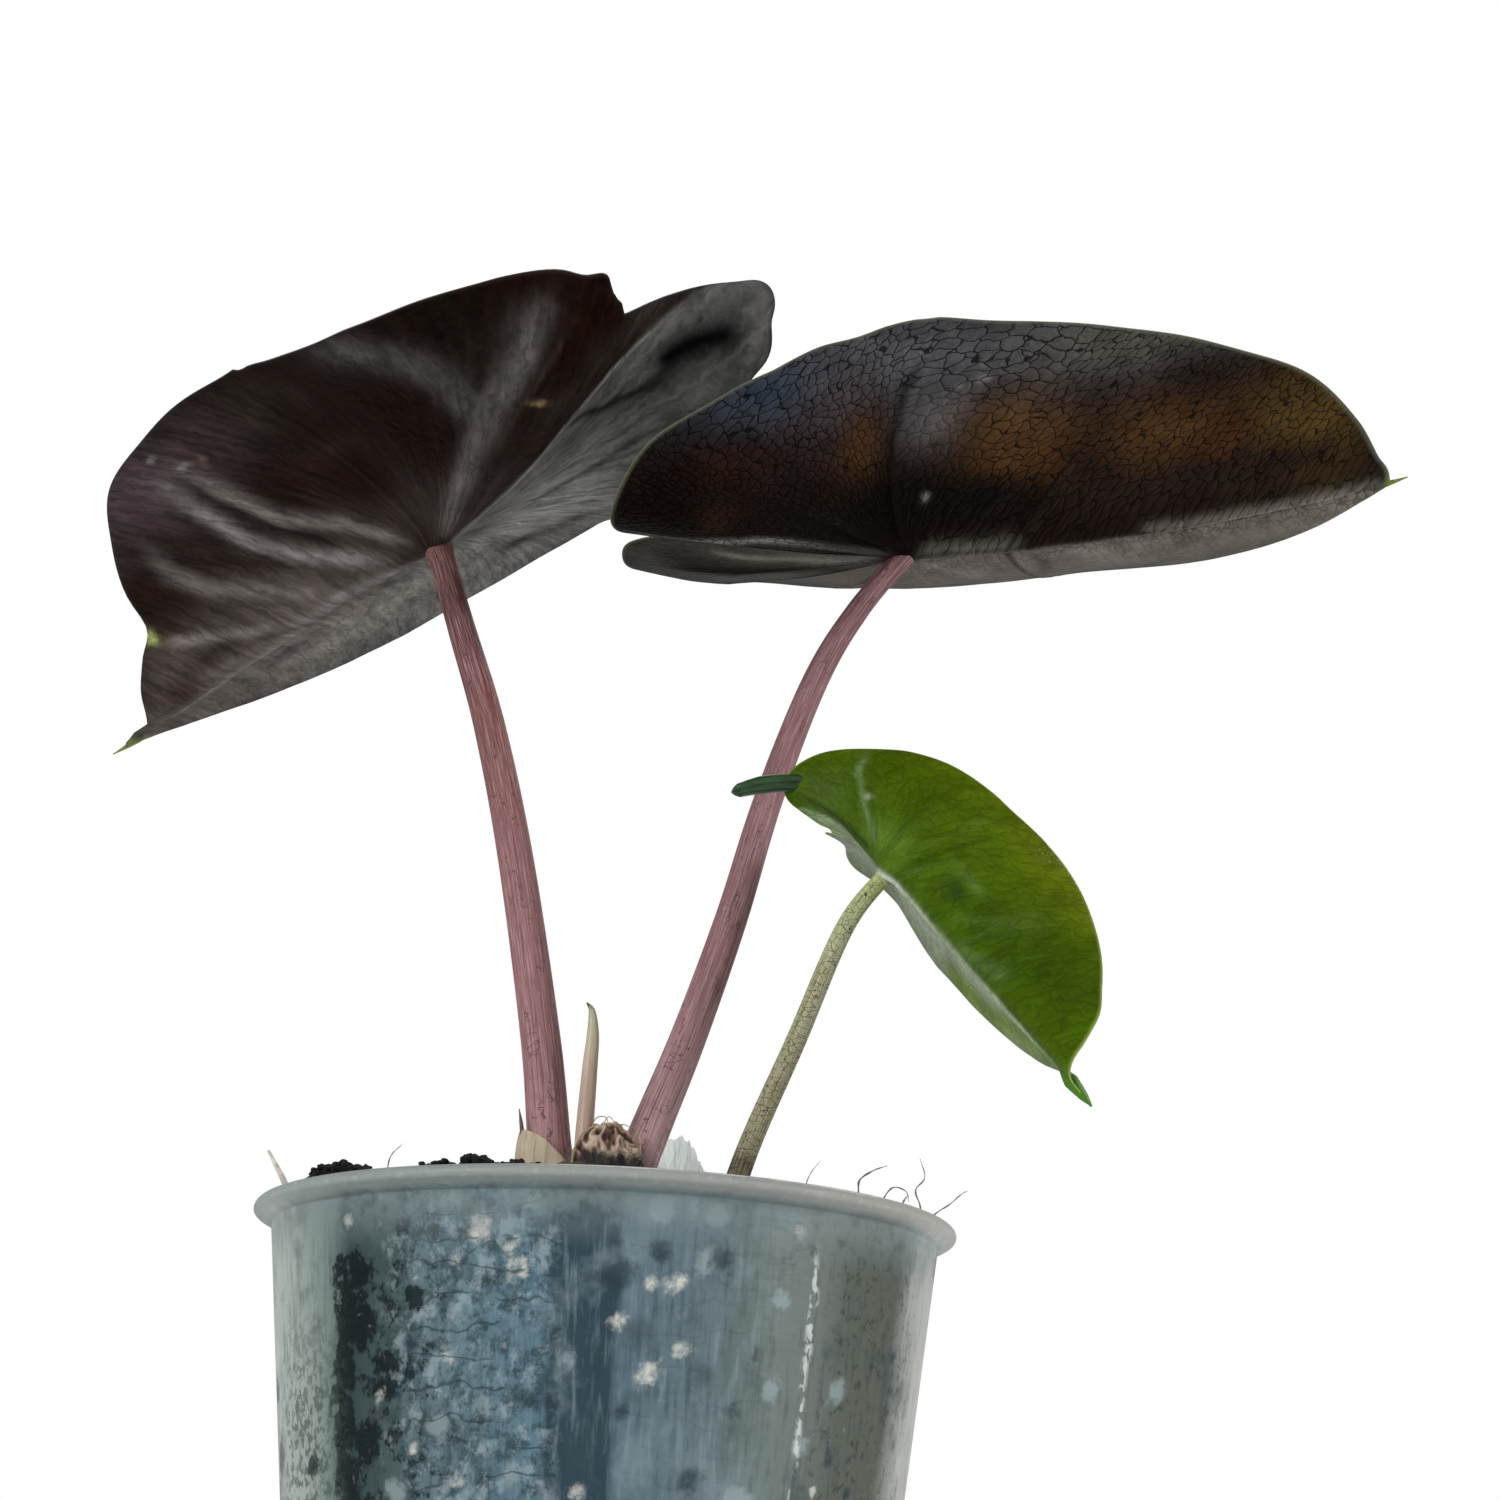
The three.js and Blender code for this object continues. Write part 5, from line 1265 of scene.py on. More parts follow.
# dry threads: the dead tip of the left sheath and the curls on top of the husk, path and radius
dryThreads = {
    "sheathSpike": ([(-12.1, -4.6, 99.6), (-12.7, -4.4, 101.4), (-13.0, -4.0, 103.0),
                     (-13.4, -3.6, 105.0)], 0.34),
    "curlLeft": ([(-3.0, -6.4, 101.6), (-2.4, -7.0, 103.4), (-1.2, -7.2, 103.8), (-0.6, -7.0, 103.0),
                  (-1.6, -7.4, 102.4)], 0.08),
    "curlMiddle": ([(-1.6, -6.0, 102.0), (-0.6, -6.4, 103.9), (0.4, -6.6, 103.2), (1.6, -7.0, 102.6)], 0.07),
    "curlRight": ([(0.0, -5.6, 102.0), (1.4, -6.0, 103.0), (2.8, -6.2, 102.6), (4.2, -6.0, 103.0)], 0.07),
    "curlLow": ([(-5.4, -7.6, 96.0), (-5.2, -7.8, 98.6), (-4.2, -7.8, 101.0), (-2.6, -7.6, 102.2)], 0.14),
    "curlFoot": ([(3.4, -7.6, 96.0), (4.2, -7.2, 99.0), (4.0, -6.2, 101.4), (3.2, -5.6, 102.8)], 0.12),
}


def ballSurface(ball):
    # a sphere of rings from pole to pole, stretched to the radii; folds are ridges that run from pole to pole
    # with a bend, each ridge the sharp top of a noise: 1 - |noise|
    rows, columns = ball["rows"], ball["columns"]
    polar = np.linspace(0, np.pi, rows + 2)[1:-1]
    turn = np.linspace(0, 2 * np.pi, columns, endpoint=False)
    unit = onCircle(np.sin(polar)[:, None], turn[None, :], np.cos(polar)[:, None]).reshape(-1, 3)
    unit = np.vstack([unit, [[0, 0, 1], [0, 0, -1]]])
    rough = layeredNoise(unit * 5.0, seed=21)
    bend = turnedAbout(unit, 1.1 * unit[:, 2] + 0.5 * latticeNoise(unit * 1.7, seed=6))
    bend[:, 2] *= 0.25
    ridge = 1 - 2 * np.abs(layeredNoise(bend * ball["foldCount"], seed=27, layers=2))
    size = np.array(ball["radii"]) + (ball["lumps"] * (rough - 0.5) + ball["folds"] * ridge)[:, None]
    skin = np.array(ball["centre"]) + unit * size
    return skin, closedFaces(rows, columns, flip=True), {"foldMark": asField(ridge)}


def scrapSurface(scrap, seed):
    # a wall round an axis between two angles: two skins a thickness apart, its top edge torn by noise
    columns, rows = 90, 30
    share = np.linspace(0, 1, columns)
    rise = np.linspace(0, 1, rows)
    angle = np.radians(scrap["from"] + (scrap["to"] - scrap["from"]) * share)
    height = np.interp(share, np.linspace(0, 1, len(scrap["heights"])), scrap["heights"])
    height = height + scrap["torn"] * latticeNoise(np.stack([share * 26, share * 0], axis=1), seed)
    wave = np.stack([np.repeat(share * 12, rows), np.tile(rise * 2.6, columns)], axis=1)
    crease = 0.5 * scrap["torn"] * layeredNoise(wave, seed + 3).reshape(columns, rows)
    radius = scrap["radius"] + crease - scrap["close"] * rise[None, :] ** 3
    skins = []
    for hand in (1, -1):
        skin = radius + hand * scrapParts["thickness"] / 2 * (1 - 0.6 * rise[None, :])
        skins.append(np.stack([
            scrap["axis"][0] + scrap["lean"][0] * rise[None, :] + skin * np.cos(angle)[:, None],
            scrap["axis"][1] + scrap["lean"][1] * rise[None, :] + skin * np.sin(angle)[:, None],
            scrapParts["base"] + rise[None, :] * height[:, None],
        ], axis=-1))
    section = np.concatenate([skins[0], skins[1][:, ::-1]], axis=1)
    wide = 2 * rows
    points = section.reshape(-1, 3)
    ends = np.stack([points[:wide].mean(axis=0), points[-wide:].mean(axis=0)])
    return np.vstack([points, ends]), closedFaces(columns, wide)


def barkSkin():
    material, tree, shader = newMaterial("crownSkin", Roughness=0.85)
    place = placeOf(tree)
    shade = cloudy(tree, place, 420.0, 5.0, 0.65)
    colour = colourStops(tree, shade, [(0.3, (0.018, 0.012, 0.009)), (0.55, (0.07, 0.042, 0.028)),
                                       (0.75, (0.16, 0.105, 0.07))])
    tree.links.new(colour, shader.inputs["Base Color"])
    roughen(tree, shader, shade, 0.0008, 0.8)
    return material


def paperSkin(name, tint, alpha=1.0):
    material, tree, shader = newMaterial(name, Roughness=0.7, Alpha=alpha)
    place = placeOf(tree)
    fibres = cloudy(tree, stretched(tree, place, (1500.0, 1500.0, 150.0)), 1.0, 4.0, 0.6)
    blotch = cloudy(tree, place, 260.0, 4.0)
    colour = overlay(tree, tint, softEdge(tree, fibres, 0.45, 0.7, 0.0, 0.6), shaded(tint, 0.5))
    colour = overlay(tree, colour, softEdge(tree, blotch, 0.5, 0.75, 0.0, 0.6), shaded(tint, 1.35))
    height = split(tree, place)[2]
    foot = softEdge(tree, plus(tree, height, times(tree, blotch, 0.004)), 0.0970, 0.0990, 0.8, 0.0)
    colour = overlay(tree, colour, foot, (0.02, 0.014, 0.011))
    tree.links.new(colour, shader.inputs["Base Color"])
    roughen(tree, shader, fibres, 0.0004, 0.8)
    return material


def huskSkin():
    # tan ridges, dark brown in the hollows between the folds and black at the foot, with fine fibres
    material, tree, shader = newMaterial("huskSkin", Roughness=0.7)
    place = placeOf(tree)
    fold = split(tree, placeOf(tree, "foldMark"))[0]
    fibres = cloudy(tree, stretched(tree, place, (1400.0, 1400.0, 260.0)), 1.0, 5.0, 0.65)
    uneven = scaled(tree, fibres, 0.8, plus(tree, fold, -0.4))
    colour = colourStops(tree, uneven, [(0.1, (0.045, 0.018, 0.011)), (0.4, (0.15, 0.075, 0.046)),
                                        (0.62, (0.32, 0.21, 0.145)), (0.95, (0.52, 0.42, 0.33))])
    foot = scaled(tree, cloudy(tree, place, 500.0, 4.0, 0.7), 0.006, split(tree, place)[2])
    colour = overlay(tree, colour, softEdge(tree, foot, 0.1003, 0.1023, 0.98, 0.0), (0.006, 0.004, 0.003))
    tree.links.new(colour, shader.inputs["Base Color"])
    roughen(tree, shader, fibres, 0.0005, 0.8)
    return material


for name, ball, skin in (("crownBody", crown, barkSkin()), ("crownHusk", husk, huskSkin())):
    points, faces, fields = ballSurface(ball)
    dress(buildPiece(name, points, faces, [skin], fields), "crown")
for seed, (side, scrap) in enumerate(scrapParts["scraps"].items()):
    skin = paperSkin("sheath" + side.capitalize(), scrap["tint"], 0.8 if side == "right" else 1.0)
    points, faces = scrapSurface(scrap, 40 + 7 * seed)
    dress(buildPiece(side + "Sheath", points, faces, [skin]), "crown")
spikeSkin = paperSkin("spikeSkin", (0.10, 0.08, 0.06))
curlSkin = paperSkin("curlSkin", (0.34, 0.30, 0.18))
for name, (path, radius) in dryThreads.items():
    thread = {"path": path, "radii": (radius, radius, 0.8 * radius, 0.2 * radius)}
    skin = spikeSkin if "Spike" in name else curlSkin
    makeTube(name, thread, skin, "crown", sides=10, perSpan=8)
print("crown and sheaths made")

# Soil. It fills the pot, so the pot's sizes come first.

pot = {
    "height": 90.0, "rimRadius": 50.0, "lipHeight": 3.0, "lipOverhang": 2.6,
    "baseRadius": 37.0, "wall": 1.0, "footRound": 1.0, "sides": 320,
    "drainHoles": 5, "drainHoleRadius": 2.5, "drainHoleCircle": 22.0,
}
soil = {
    "edgeHeight": 88.5, "moundHeight": 6.0, "moundRadius": 26.0, "roughness": 0.9,
    "columns": 260, "gap": 0.3,
    "crumbs": 380, "crumbRadius": (0.4, 1.4), "edgeMargin": 1.6,
    "heapRadius": 43.0, "heapSpread": (-2.4, 1.6), "heapCrumbRadius": (0.3, 0.8),
    # banks above the rim: angle round the pot, half length, crumbs, height
    "heaps": [(207, 9.4, 1100, 92.9), (224, 6.0, 160, 90.9), (239, 3.4, 200, 91.5), (246.5, 1.4, 220, 93.0),
              (254, 4.5, 200, 91.2)],
    "perlite": 70, "perliteRadius": (0.8, 2.2), "perliteReach": 42.5,
}


def soilHeight(radius):
    return soil["edgeHeight"] + soil["moundHeight"] * np.exp(-(radius / soil["moundRadius"]) ** 2)


def wallRadius(z):
    top = pot["rimRadius"] - pot["lipOverhang"]
    return pot["baseRadius"] + (top - pot["baseRadius"]) * z / (pot["height"] - pot["lipHeight"])


def soilSurface():
    # rings round the axis: the floor, up the wall, then in over the mounded top, roughened by noise
    inner = pot["wall"] + soil["gap"]
    wallZ = np.linspace(inner, soil["edgeHeight"], 60)
    topRadius = (wallRadius(soil["edgeHeight"]) - inner) * np.linspace(1, 0, 72)[1:-1]
    radius = np.concatenate([wallRadius(wallZ) - inner, topRadius])
    z = np.concatenate([wallZ, soilHeight(topRadius)])
    turn = np.linspace(0, 2 * np.pi, soil["columns"], endpoint=False)
    points = onCircle(radius[:, None], turn[None, :], z[:, None])
    rough = layeredNoise(points.reshape(-1, 3) / 2.6, seed=31, layers=4).reshape(len(z), -1)
    inward = smoothStep((wallRadius(soil["edgeHeight"]) - inner - radius) / 2.0)[:, None]
    points[..., 2] += 1.7 * soil["roughness"] * rough * inward
    ends = np.array([[0, 0, inner], [0, 0, soilHeight(0.0)]])
    return np.vstack([points.reshape(-1, 3), ends]), closedFaces(len(z), soil["columns"])


def ballTemplate(detail):
    # an icosahedron's faces split in four, as often as detail says, each new corner pushed out to the sphere
    g = (1 + 5 ** 0.5) / 2
    corners = np.array([(-1, g, 0), (1, g, 0), (-1, -g, 0), (1, -g, 0), (0, -1, g), (0, 1, g), (0, -1, -g),
                        (0, 1, -g), (g, 0, -1), (g, 0, 1), (-g, 0, -1), (-g, 0, 1)], float)
    faces = np.array([(0, 11, 5), (0, 5, 1), (0, 1, 7), (0, 7, 10), (0, 10, 11), (1, 5, 9), (5, 11, 4),
                      (11, 10, 2), (10, 7, 6), (7, 1, 8), (3, 9, 4), (3, 4, 2), (3, 2, 6), (3, 6, 8),
                      (3, 8, 9), (4, 9, 5), (2, 4, 11), (6, 2, 10), (8, 6, 7), (9, 8, 1)])
    for _ in range(detail):
        edges = np.sort(faces[:, [0, 1, 1, 2, 2, 0]].reshape(-1, 2), axis=1)
        unique, index = np.unique(edges, axis=0, return_inverse=True)
        middle = len(corners) + index.reshape(-1, 3)
        corners = np.vstack([corners, corners[unique].mean(axis=1)])
        a, b, c = faces.T
        ab, bc, ca = middle.T
        quarters = ((a, ab, ca), (b, bc, ab), (c, ca, bc), (ab, bc, ca))
        faces = np.vstack([np.stack(quarter, axis=1) for quarter in quarters])
    return corners / np.linalg.norm(corners, axis=1, keepdims=True), faces


def lumps(centres, radii, seed, detail=1, flat=0.75):
    # one template ball for each centre, squashed, turned about the upright and roughened by noise
    ball, ballFaces = ballTemplate(detail)
    draw = np.random.default_rng(seed)
    squash = np.stack([np.ones(len(centres)), draw.uniform(0.65, 1.1, len(centres)),
                       draw.uniform(flat - 0.2, flat + 0.15, len(centres))], axis=1)
    turn = draw.uniform(0, 2 * np.pi, len(centres))
    shaped = ball[None] * squash[:, None] * np.asarray(radii)[:, None, None]
    spots = (ball[None] * 1.4 + draw.uniform(-50, 50, (len(centres), 1, 3))).reshape(-1, 3)
    bumps = 1 + 0.8 * layeredNoise(spots, seed, 2).reshape(len(centres), -1, 1)
    shaped = shaped * bumps
    points = (turnedAbout(shaped, turn[:, None]) + np.asarray(centres)[:, None]).reshape(-1, 3)
    faces = (ballFaces[None] + len(ball) * np.arange(len(centres))[:, None, None]).reshape(-1, 3)
    return points, [(faces, 0)]


def crumbPlaces():
    # crumbs all over the top, then those of the banks, whose height falls off to both ends
    draw = np.random.default_rng(12)
    reach = wallRadius(soil["edgeHeight"]) - pot["wall"] - soil["gap"] - soil["edgeMargin"]
    radius = reach * np.sqrt(draw.uniform(0.03, 1, soil["crumbs"]))
    turn = draw.uniform(0, 2 * np.pi, soil["crumbs"])
    size = draw.uniform(0, 1, soil["crumbs"]) ** 2
    places = [onCircle(radius, turn, soilHeight(radius) + 0.3)]
    sizes = [between(soil["crumbRadius"], size)]
    for angle, halfLength, count, height in soil["heaps"]:
        along = draw.uniform(-1, 1, count)
        turn = np.radians(angle) + halfLength * along / soil["heapRadius"]
        out = np.minimum(soil["heapRadius"] + draw.uniform(*soil["heapSpread"], count), reach)
        ground = soilHeight(soil["heapRadius"])
        ragged = layeredNoise(along[:, None] * halfLength, seed=int(angle))
        peak = ground + (height - ground) * (1 - 0.4 * along ** 4) * (0.85 + 0.35 * ragged)
        rise = draw.uniform(0, 1, count)
        places.append(onCircle(out, turn, between((ground, peak), rise)))
        sizes.append(between(soil["heapCrumbRadius"], draw.uniform(0, 1, count) ** 2))
    return np.vstack(places), np.concatenate(sizes)


def soilSkin(name, dark, pale, whiteShare=0.0):
    material, tree, shader = newMaterial(name, Roughness=0.9, Specular_IOR_Level=0.3)
    place = placeOf(tree)
    shade = cloudy(tree, place, 650.0, 5.0, 0.7)
    colour = overlay(tree, dark, softEdge(tree, shade, 0.4, 0.68), pale)
    if whiteShare:
        grains = addNode(tree, "TexVoronoi", {"Vector": place, "Scale": 150.0, "Randomness": 1.0}).outputs
        wobble = scaled(tree, cloudy(tree, place, 700.0, 3.0), 0.35, -0.17)
        body = softEdge(tree, plus(tree, grains["Distance"], wobble), 0.20, 0.32, 1.0, 0.0)
        chosen = softEdge(tree, split(tree, grains["Color"])[0], 1 - whiteShare - 0.02, 1 - whiteShare)
        colour = overlay(tree, colour, times(tree, body, chosen), (0.55, 0.54, 0.47))
    tree.links.new(colour, shader.inputs["Base Color"])
    roughen(tree, shader, shade, 0.0012, 0.9)
    return material


soilMaterial = soilSkin("soilBedSkin", (0.012, 0.010, 0.008), (0.07, 0.055, 0.042), 0.22)
crumbMaterial = soilSkin("crumbSkin", (0.004, 0.003, 0.003), (0.022, 0.017, 0.014))
perliteMaterial = soilSkin("perliteSkin", (0.42, 0.41, 0.36), (0.75, 0.74, 0.68))
points, faces = soilSurface()
dress(buildPiece("soilBed", points, faces, [soilMaterial]), "soil")
places, sizes = crumbPlaces()
points, faces = lumps(places, sizes, 14)
dress(buildPiece("soilCrumbs", points, faces, [crumbMaterial]), "soil")
draw = np.random.default_rng(16)
radius = soil["perliteReach"] * np.sqrt(draw.uniform(0.06, 1, soil["perlite"]))
turn = draw.uniform(0, 2 * np.pi, soil["perlite"])
sizes = between(soil["perliteRadius"], draw.uniform(0, 1, soil["perlite"]) ** 2.5)
points, faces = lumps(onCircle(radius, turn, soilHeight(radius) + 0.1), sizes, 18, detail=2)
dress(buildPiece("perliteGrains", points, faces, [perliteMaterial]), "soil")
print("soil made")

# Fine roots at the rim

hairRoots = {
    "rightHook": ([(33.0, -21, 88), (34.2, -20, 92), (34.4, -20, 94.2), (36.2, -20, 95.6),
                   (38.2, -20, 96.4)], 0.14),
    "rightCurl": ([(36.5, -21, 88), (37.6, -20, 91.5), (39.0, -20, 93.4), (40.8, -20, 93.0),
                   (41.3, -20, 91.5)], 0.11),
    "rightTall": ([(42.6, -18, 87.5), (43.0, -19, 90.8), (42.2, -19.6, 93.2), (43.4, -20, 95.0),
                   (42.7, -20, 97.6)], 0.11),
    "rightStray": ([(43.0, -16, 87), (44.8, -18, 90.0), (47.0, -19, 91.6), (48.6, -20, 93.0),
                    (49.4, -20, 93.4)], 0.10),
    "rightStub": ([(40.0, -21.5, 88), (40.3, -21, 91.0), (40.9, -21, 92.2)], 0.16),
    "middleStray": ([(25.4, -30, 88), (26.6, -30, 92.6), (28.2, -30, 95.0)], 0.07),
    "leftStray": ([(-29.4, -30, 88.5), (-29.2, -31, 92.5), (-27.6, -31, 94.6)], 0.09),
}


def hairSkin():
    material, tree, shader = newMaterial("hairRootSkin", Roughness=0.7)
    shade = cloudy(tree, placeOf(tree), 350.0, 2.0)
    colour = colourStops(tree, shade, [(0.35, (0.05, 0.035, 0.025)), (0.65, (0.22, 0.17, 0.12))])
    tree.links.new(colour, shader.inputs["Base Color"])
    return material


hairMaterial = hairSkin()
for name, (path, radius) in hairRoots.items():
    tube = {"path": path, "radii": (radius, radius, 0.8 * radius, 0.35 * radius)}
    makeTube(name + "Root", tube, hairMaterial, "soil", sides=8, perSpan=8,
             wobble=lambda a, t: 0.25 * np.sin(31 * t))
print("fine roots made")

# Pot


def potProfile():
    # outside and inside of the cup as radius and height, from the foot up, over the lip and down inside
    top = pot["rimRadius"] - pot["lipOverhang"]
    lipLow = pot["height"] - pot["lipHeight"]
    bend = np.linspace(0, np.pi / 2, 6)
    foot = np.stack([pot["baseRadius"] - pot["footRound"] * (1 - np.sin(bend)),
                     pot["footRound"] * (1 - np.cos(bend))], axis=1)
    outerZ = np.linspace(pot["footRound"], lipLow, 110)[1:]
    outer = np.stack([wallRadius(outerZ), outerZ], axis=1)
    lipKnots = [(top, lipLow), (top + 0.6, lipLow + 0.35), (pot["rimRadius"] - 1.1, lipLow + 0.9),
                (pot["rimRadius"] - 0.2, lipLow + 1.4), (pot["rimRadius"], lipLow + 2.0),
                (pot["rimRadius"] - 0.4, pot["height"] - 0.35), (pot["rimRadius"] - 1.3, pot["height"]),
                (top + 0.2, pot["height"] - 0.1), (top - 0.7, pot["height"] - 0.7),
                (top - pot["wall"], lipLow - 0.5)]
    lip = curvePoints(lipKnots, 5)
    innerZ = np.linspace(lipLow - 0.5, pot["wall"], 24)[1:]
    inner = np.stack([wallRadius(innerZ) - pot["wall"], innerZ], axis=1)
    return np.vstack([foot, outer[:-1], lip, inner])


def potFloor(first, last, start):
    # one triangulated disc between the wall's ring and the drain holes, used for the floor's two faces
    sides = pot["sides"]
    holeSides = 28
    ring = np.linspace(0, 2 * np.pi, sides, endpoint=False)
    hole = np.linspace(0, 2 * np.pi, holeSides, endpoint=False)
    centres = np.linspace(0, 2 * np.pi, pot["drainHoles"], endpoint=False)
    centres = pot["drainHoleCircle"] * np.stack([np.cos(centres), np.sin(centres)], axis=1)
    rim = (pot["baseRadius"] - pot["footRound"]) * np.stack([np.cos(ring), np.sin(ring)], axis=1)
    holeRing = pot["drainHoleRadius"] * np.stack([np.cos(hole), np.sin(hole)], axis=1)
    holes = (centres[:, None] + holeRing[None]).reshape(-1, 2)
    flat = np.vstack([rim, holes])
    triangles = np.array(delaunay_2d_cdt([Vector(p) for p in flat], [], [], 0, 1e-6)[2])
    middle = flat[triangles].mean(axis=1)
    overHole = (np.linalg.norm(middle[:, None] - centres[None], axis=2) < pot["drainHoleRadius"]).any(axis=1)
    triangles = triangles[~overHole]
    lower = np.where(triangles < sides, first + triangles, start + triangles - sides)
    upper = np.where(triangles < sides, last + triangles, start + len(holes) + triangles - sides)
    points = np.vstack([np.column_stack([holes, np.full(len(holes), z)]) for z in (0.0, pot["wall"])])
    each = start + holeSides * np.repeat(np.arange(pot["drainHoles"]), holeSides)
    i = np.tile(np.arange(holeSides), pot["drainHoles"])
    a = each + i
    b = each + (i + 1) % holeSides
    walls = np.stack([a, a + len(holes), b + len(holes), b], axis=1)
    return points, [(lower[:, ::-1], 0), (upper, 0), (walls, 0)]


# what shows through the front of the wall: mm across, height and size of each
wallMarks = {
    "grains": [
        (-16, 82, 2.3), (-11, 77, 2.1), (-19, 78, 1.0), (-24, 76, 1.0), (-12, 80, 1.2), (2, 71, 1.5),
        (6, 65, 1.8), (10, 68, 1.4), (-28, 61, 0.9), (-2, 50, 1.2), (-19, 66, 0.8), (-23, 55, 1.0),
        (-17, 51, 1.0), (28, 52, 0.8), (9, 76, 1.5), (6, 76, 1.1), (-34, 84, 1.2), (25, 84, 1.2),
        (-8, 41, 1.4), (14, 44, 1.6), (-20, 36, 1.3), (3, 30, 1.5), (20, 26, 1.2), (-27, 22, 1.6),
        (-5, 15, 1.3), (12, 10, 1.5)],
    "pale": [
        (7, 85, 2.0), (11, 86, 1.5), (14, 85, 2.0), (13, 79, 2.0), (23, 75, 1.7), (22, 64, 1.8),
        (31, 65, 2.0), (-14, 60, 1.8), (-20, 58, 2.0), (-25, 50, 2.2), (-10, 52, 1.6), (-4, 66, 1.5),
        (26, 57, 1.5), (-30, 88, 1.5), (18, 50, 2.4), (-12, 33, 2.4), (8, 38, 2.0), (27, 34, 2.2),
        (-22, 12, 2.0), (16, 18, 2.2)],
    "lumps": [
        (-3, 86, 2.0), (0, 85, 2.3), (2, 77, 3.0), (15, 79, 2.2), (7, 80, 1.8), (-17, 85, 1.8),
        (-22, 82, 1.2), (-9, 61, 2.0), (-6, 61, 1.6), (27, 82, 1.2), (20, 68, 1.2), (17, 61, 1.4),
        (3, 60, 1.4), (39, 70, 1.0), (39, 66, 1.0), (38, 74, 0.9), (30, 56, 1.8), (33, 52, 1.5),
        (-20, 72, 1.6), (-24, 68, 2.0), (12, 52, 1.8), (-15, 45, 2.2), (22, 40, 2.2), (-3, 28, 2.4),
        (9, 20, 2.0), (-24, 30, 2.2), (30, 20, 2.0)],
    "moss": [
        (-32, 77, 3.6), (-31, 70, 4.0), (-27, 64, 4.6), (-29, 56, 4.0), (-33, 62, 3.0), (-26, 82, 2.0),
        (-34, 84, 2.0), (-27, 47, 4.0), (-31, 38, 4.0), (-28, 28, 3.6), (-24, 74, 2.2), (-37, 53, 2.2),
        (-36, 44, 3.0)],
}


def markShare(points, marks):
    # for each point of the wall the nearest mark's bell curve of the distance along the wall
    angle = np.arctan2(points[:, 0], -points[:, 1])
    share = np.zeros(len(points))
    for across, height, size in marks:
        radius = wallRadius(height)
        away = np.hypot(radius * (angle - np.arcsin(across / radius)), points[:, 2] - height)
        share = np.maximum(share, np.exp(-(away / size) ** 2))
    return share


def makePot(material):
    # the profile turned round the axis, closed by the floor's two faces and the walls of its holes
    profile = potProfile()
    turn = np.linspace(0, 2 * np.pi, pot["sides"], endpoint=False)
    points = onCircle(profile[:, :1], turn[None, :], profile[:, 1:]).reshape(-1, 3)
    floorPoints, floorFaces = potFloor(0, len(points) - pot["sides"], len(points))
    faces = [(gridFaces(len(profile), pot["sides"]), 0), *floorFaces]
    points = np.vstack([points, floorPoints])
    seen = {key: markShare(points, wallMarks[key]) for key in wallMarks}
    marks = {"wallMarks": np.stack([seen["grains"], seen["pale"], seen["lumps"]], axis=1),
             "mossMarks": asField(seen["moss"])}
    dress(buildPiece("potCup", points, faces, [material], marks), "pot")


wallLook = {
    # colour across the front, from the left edge (0) to the right edge (1): the soil seen through the wall
    # mixed with painted reflections of the room, laid on as upright bands
    "soilAndReflectionBands": [
        (0.0, (0.40, 0.44, 0.41)), (0.055, (0.29, 0.34, 0.31)), (0.10, (0.16, 0.21, 0.195)),
        (0.14, (0.026, 0.045, 0.048)), (0.205, (0.055, 0.085, 0.085)), (0.25, (0.095, 0.145, 0.160)),
        (0.31, (0.100, 0.165, 0.195)), (0.42, (0.085, 0.150, 0.195)), (0.43, (0.026, 0.052, 0.070)),
        (0.515, (0.024, 0.046, 0.062)), (0.525, (0.085, 0.130, 0.160)), (0.66, (0.105, 0.145, 0.160)),
        (0.69, (0.095, 0.128, 0.128)), (0.75, (0.12, 0.155, 0.145)), (0.80, (0.13, 0.15, 0.14)),
        (0.85, (0.085, 0.096, 0.082)), (0.925, (0.075, 0.082, 0.068)), (0.955, (0.28, 0.29, 0.27)),
        (1.0, (0.42, 0.43, 0.41))],
    "lipColour": (0.23, 0.275, 0.26),
    "lipRight": (0.30, 0.29, 0.27),
    "alpha": 0.9,
}


def within(tree, value, low, high, soft):
    # 1 between low and high, falling to 0 over the soft width on both sides
    rise = softEdge(tree, value, low - soft, low + soft)
    fall = softEdge(tree, value, high - soft, high + soft, 1.0, 0.0)
    return times(tree, rise, fall)


def blobs(tree, place, size, share, radius, seed):
    # soft-edged grains: a share of the cells of the given size (mm) holds one, with its border bent by noise
    shifted = stretched(tree, place, (1.0, 1.0, 1.0), (seed * 13.7, seed * 7.1, seed * 3.3))
    grains = addNode(tree, "TexVoronoi", {"Vector": shifted, "Scale": 1.0 / size}).outputs
    wobble = scaled(tree, cloudy(tree, shifted, 0.7, 4.0, 0.65), 0.6, -0.3)
    near = softEdge(tree, plus(tree, grains["Distance"], wobble), 0.55 * radius, radius, 1.0, 0.0)
    chosen = calculate(tree, "GREATER_THAN", split(tree, grains["Color"])[0], 1 - share)
    return times(tree, near, chosen)


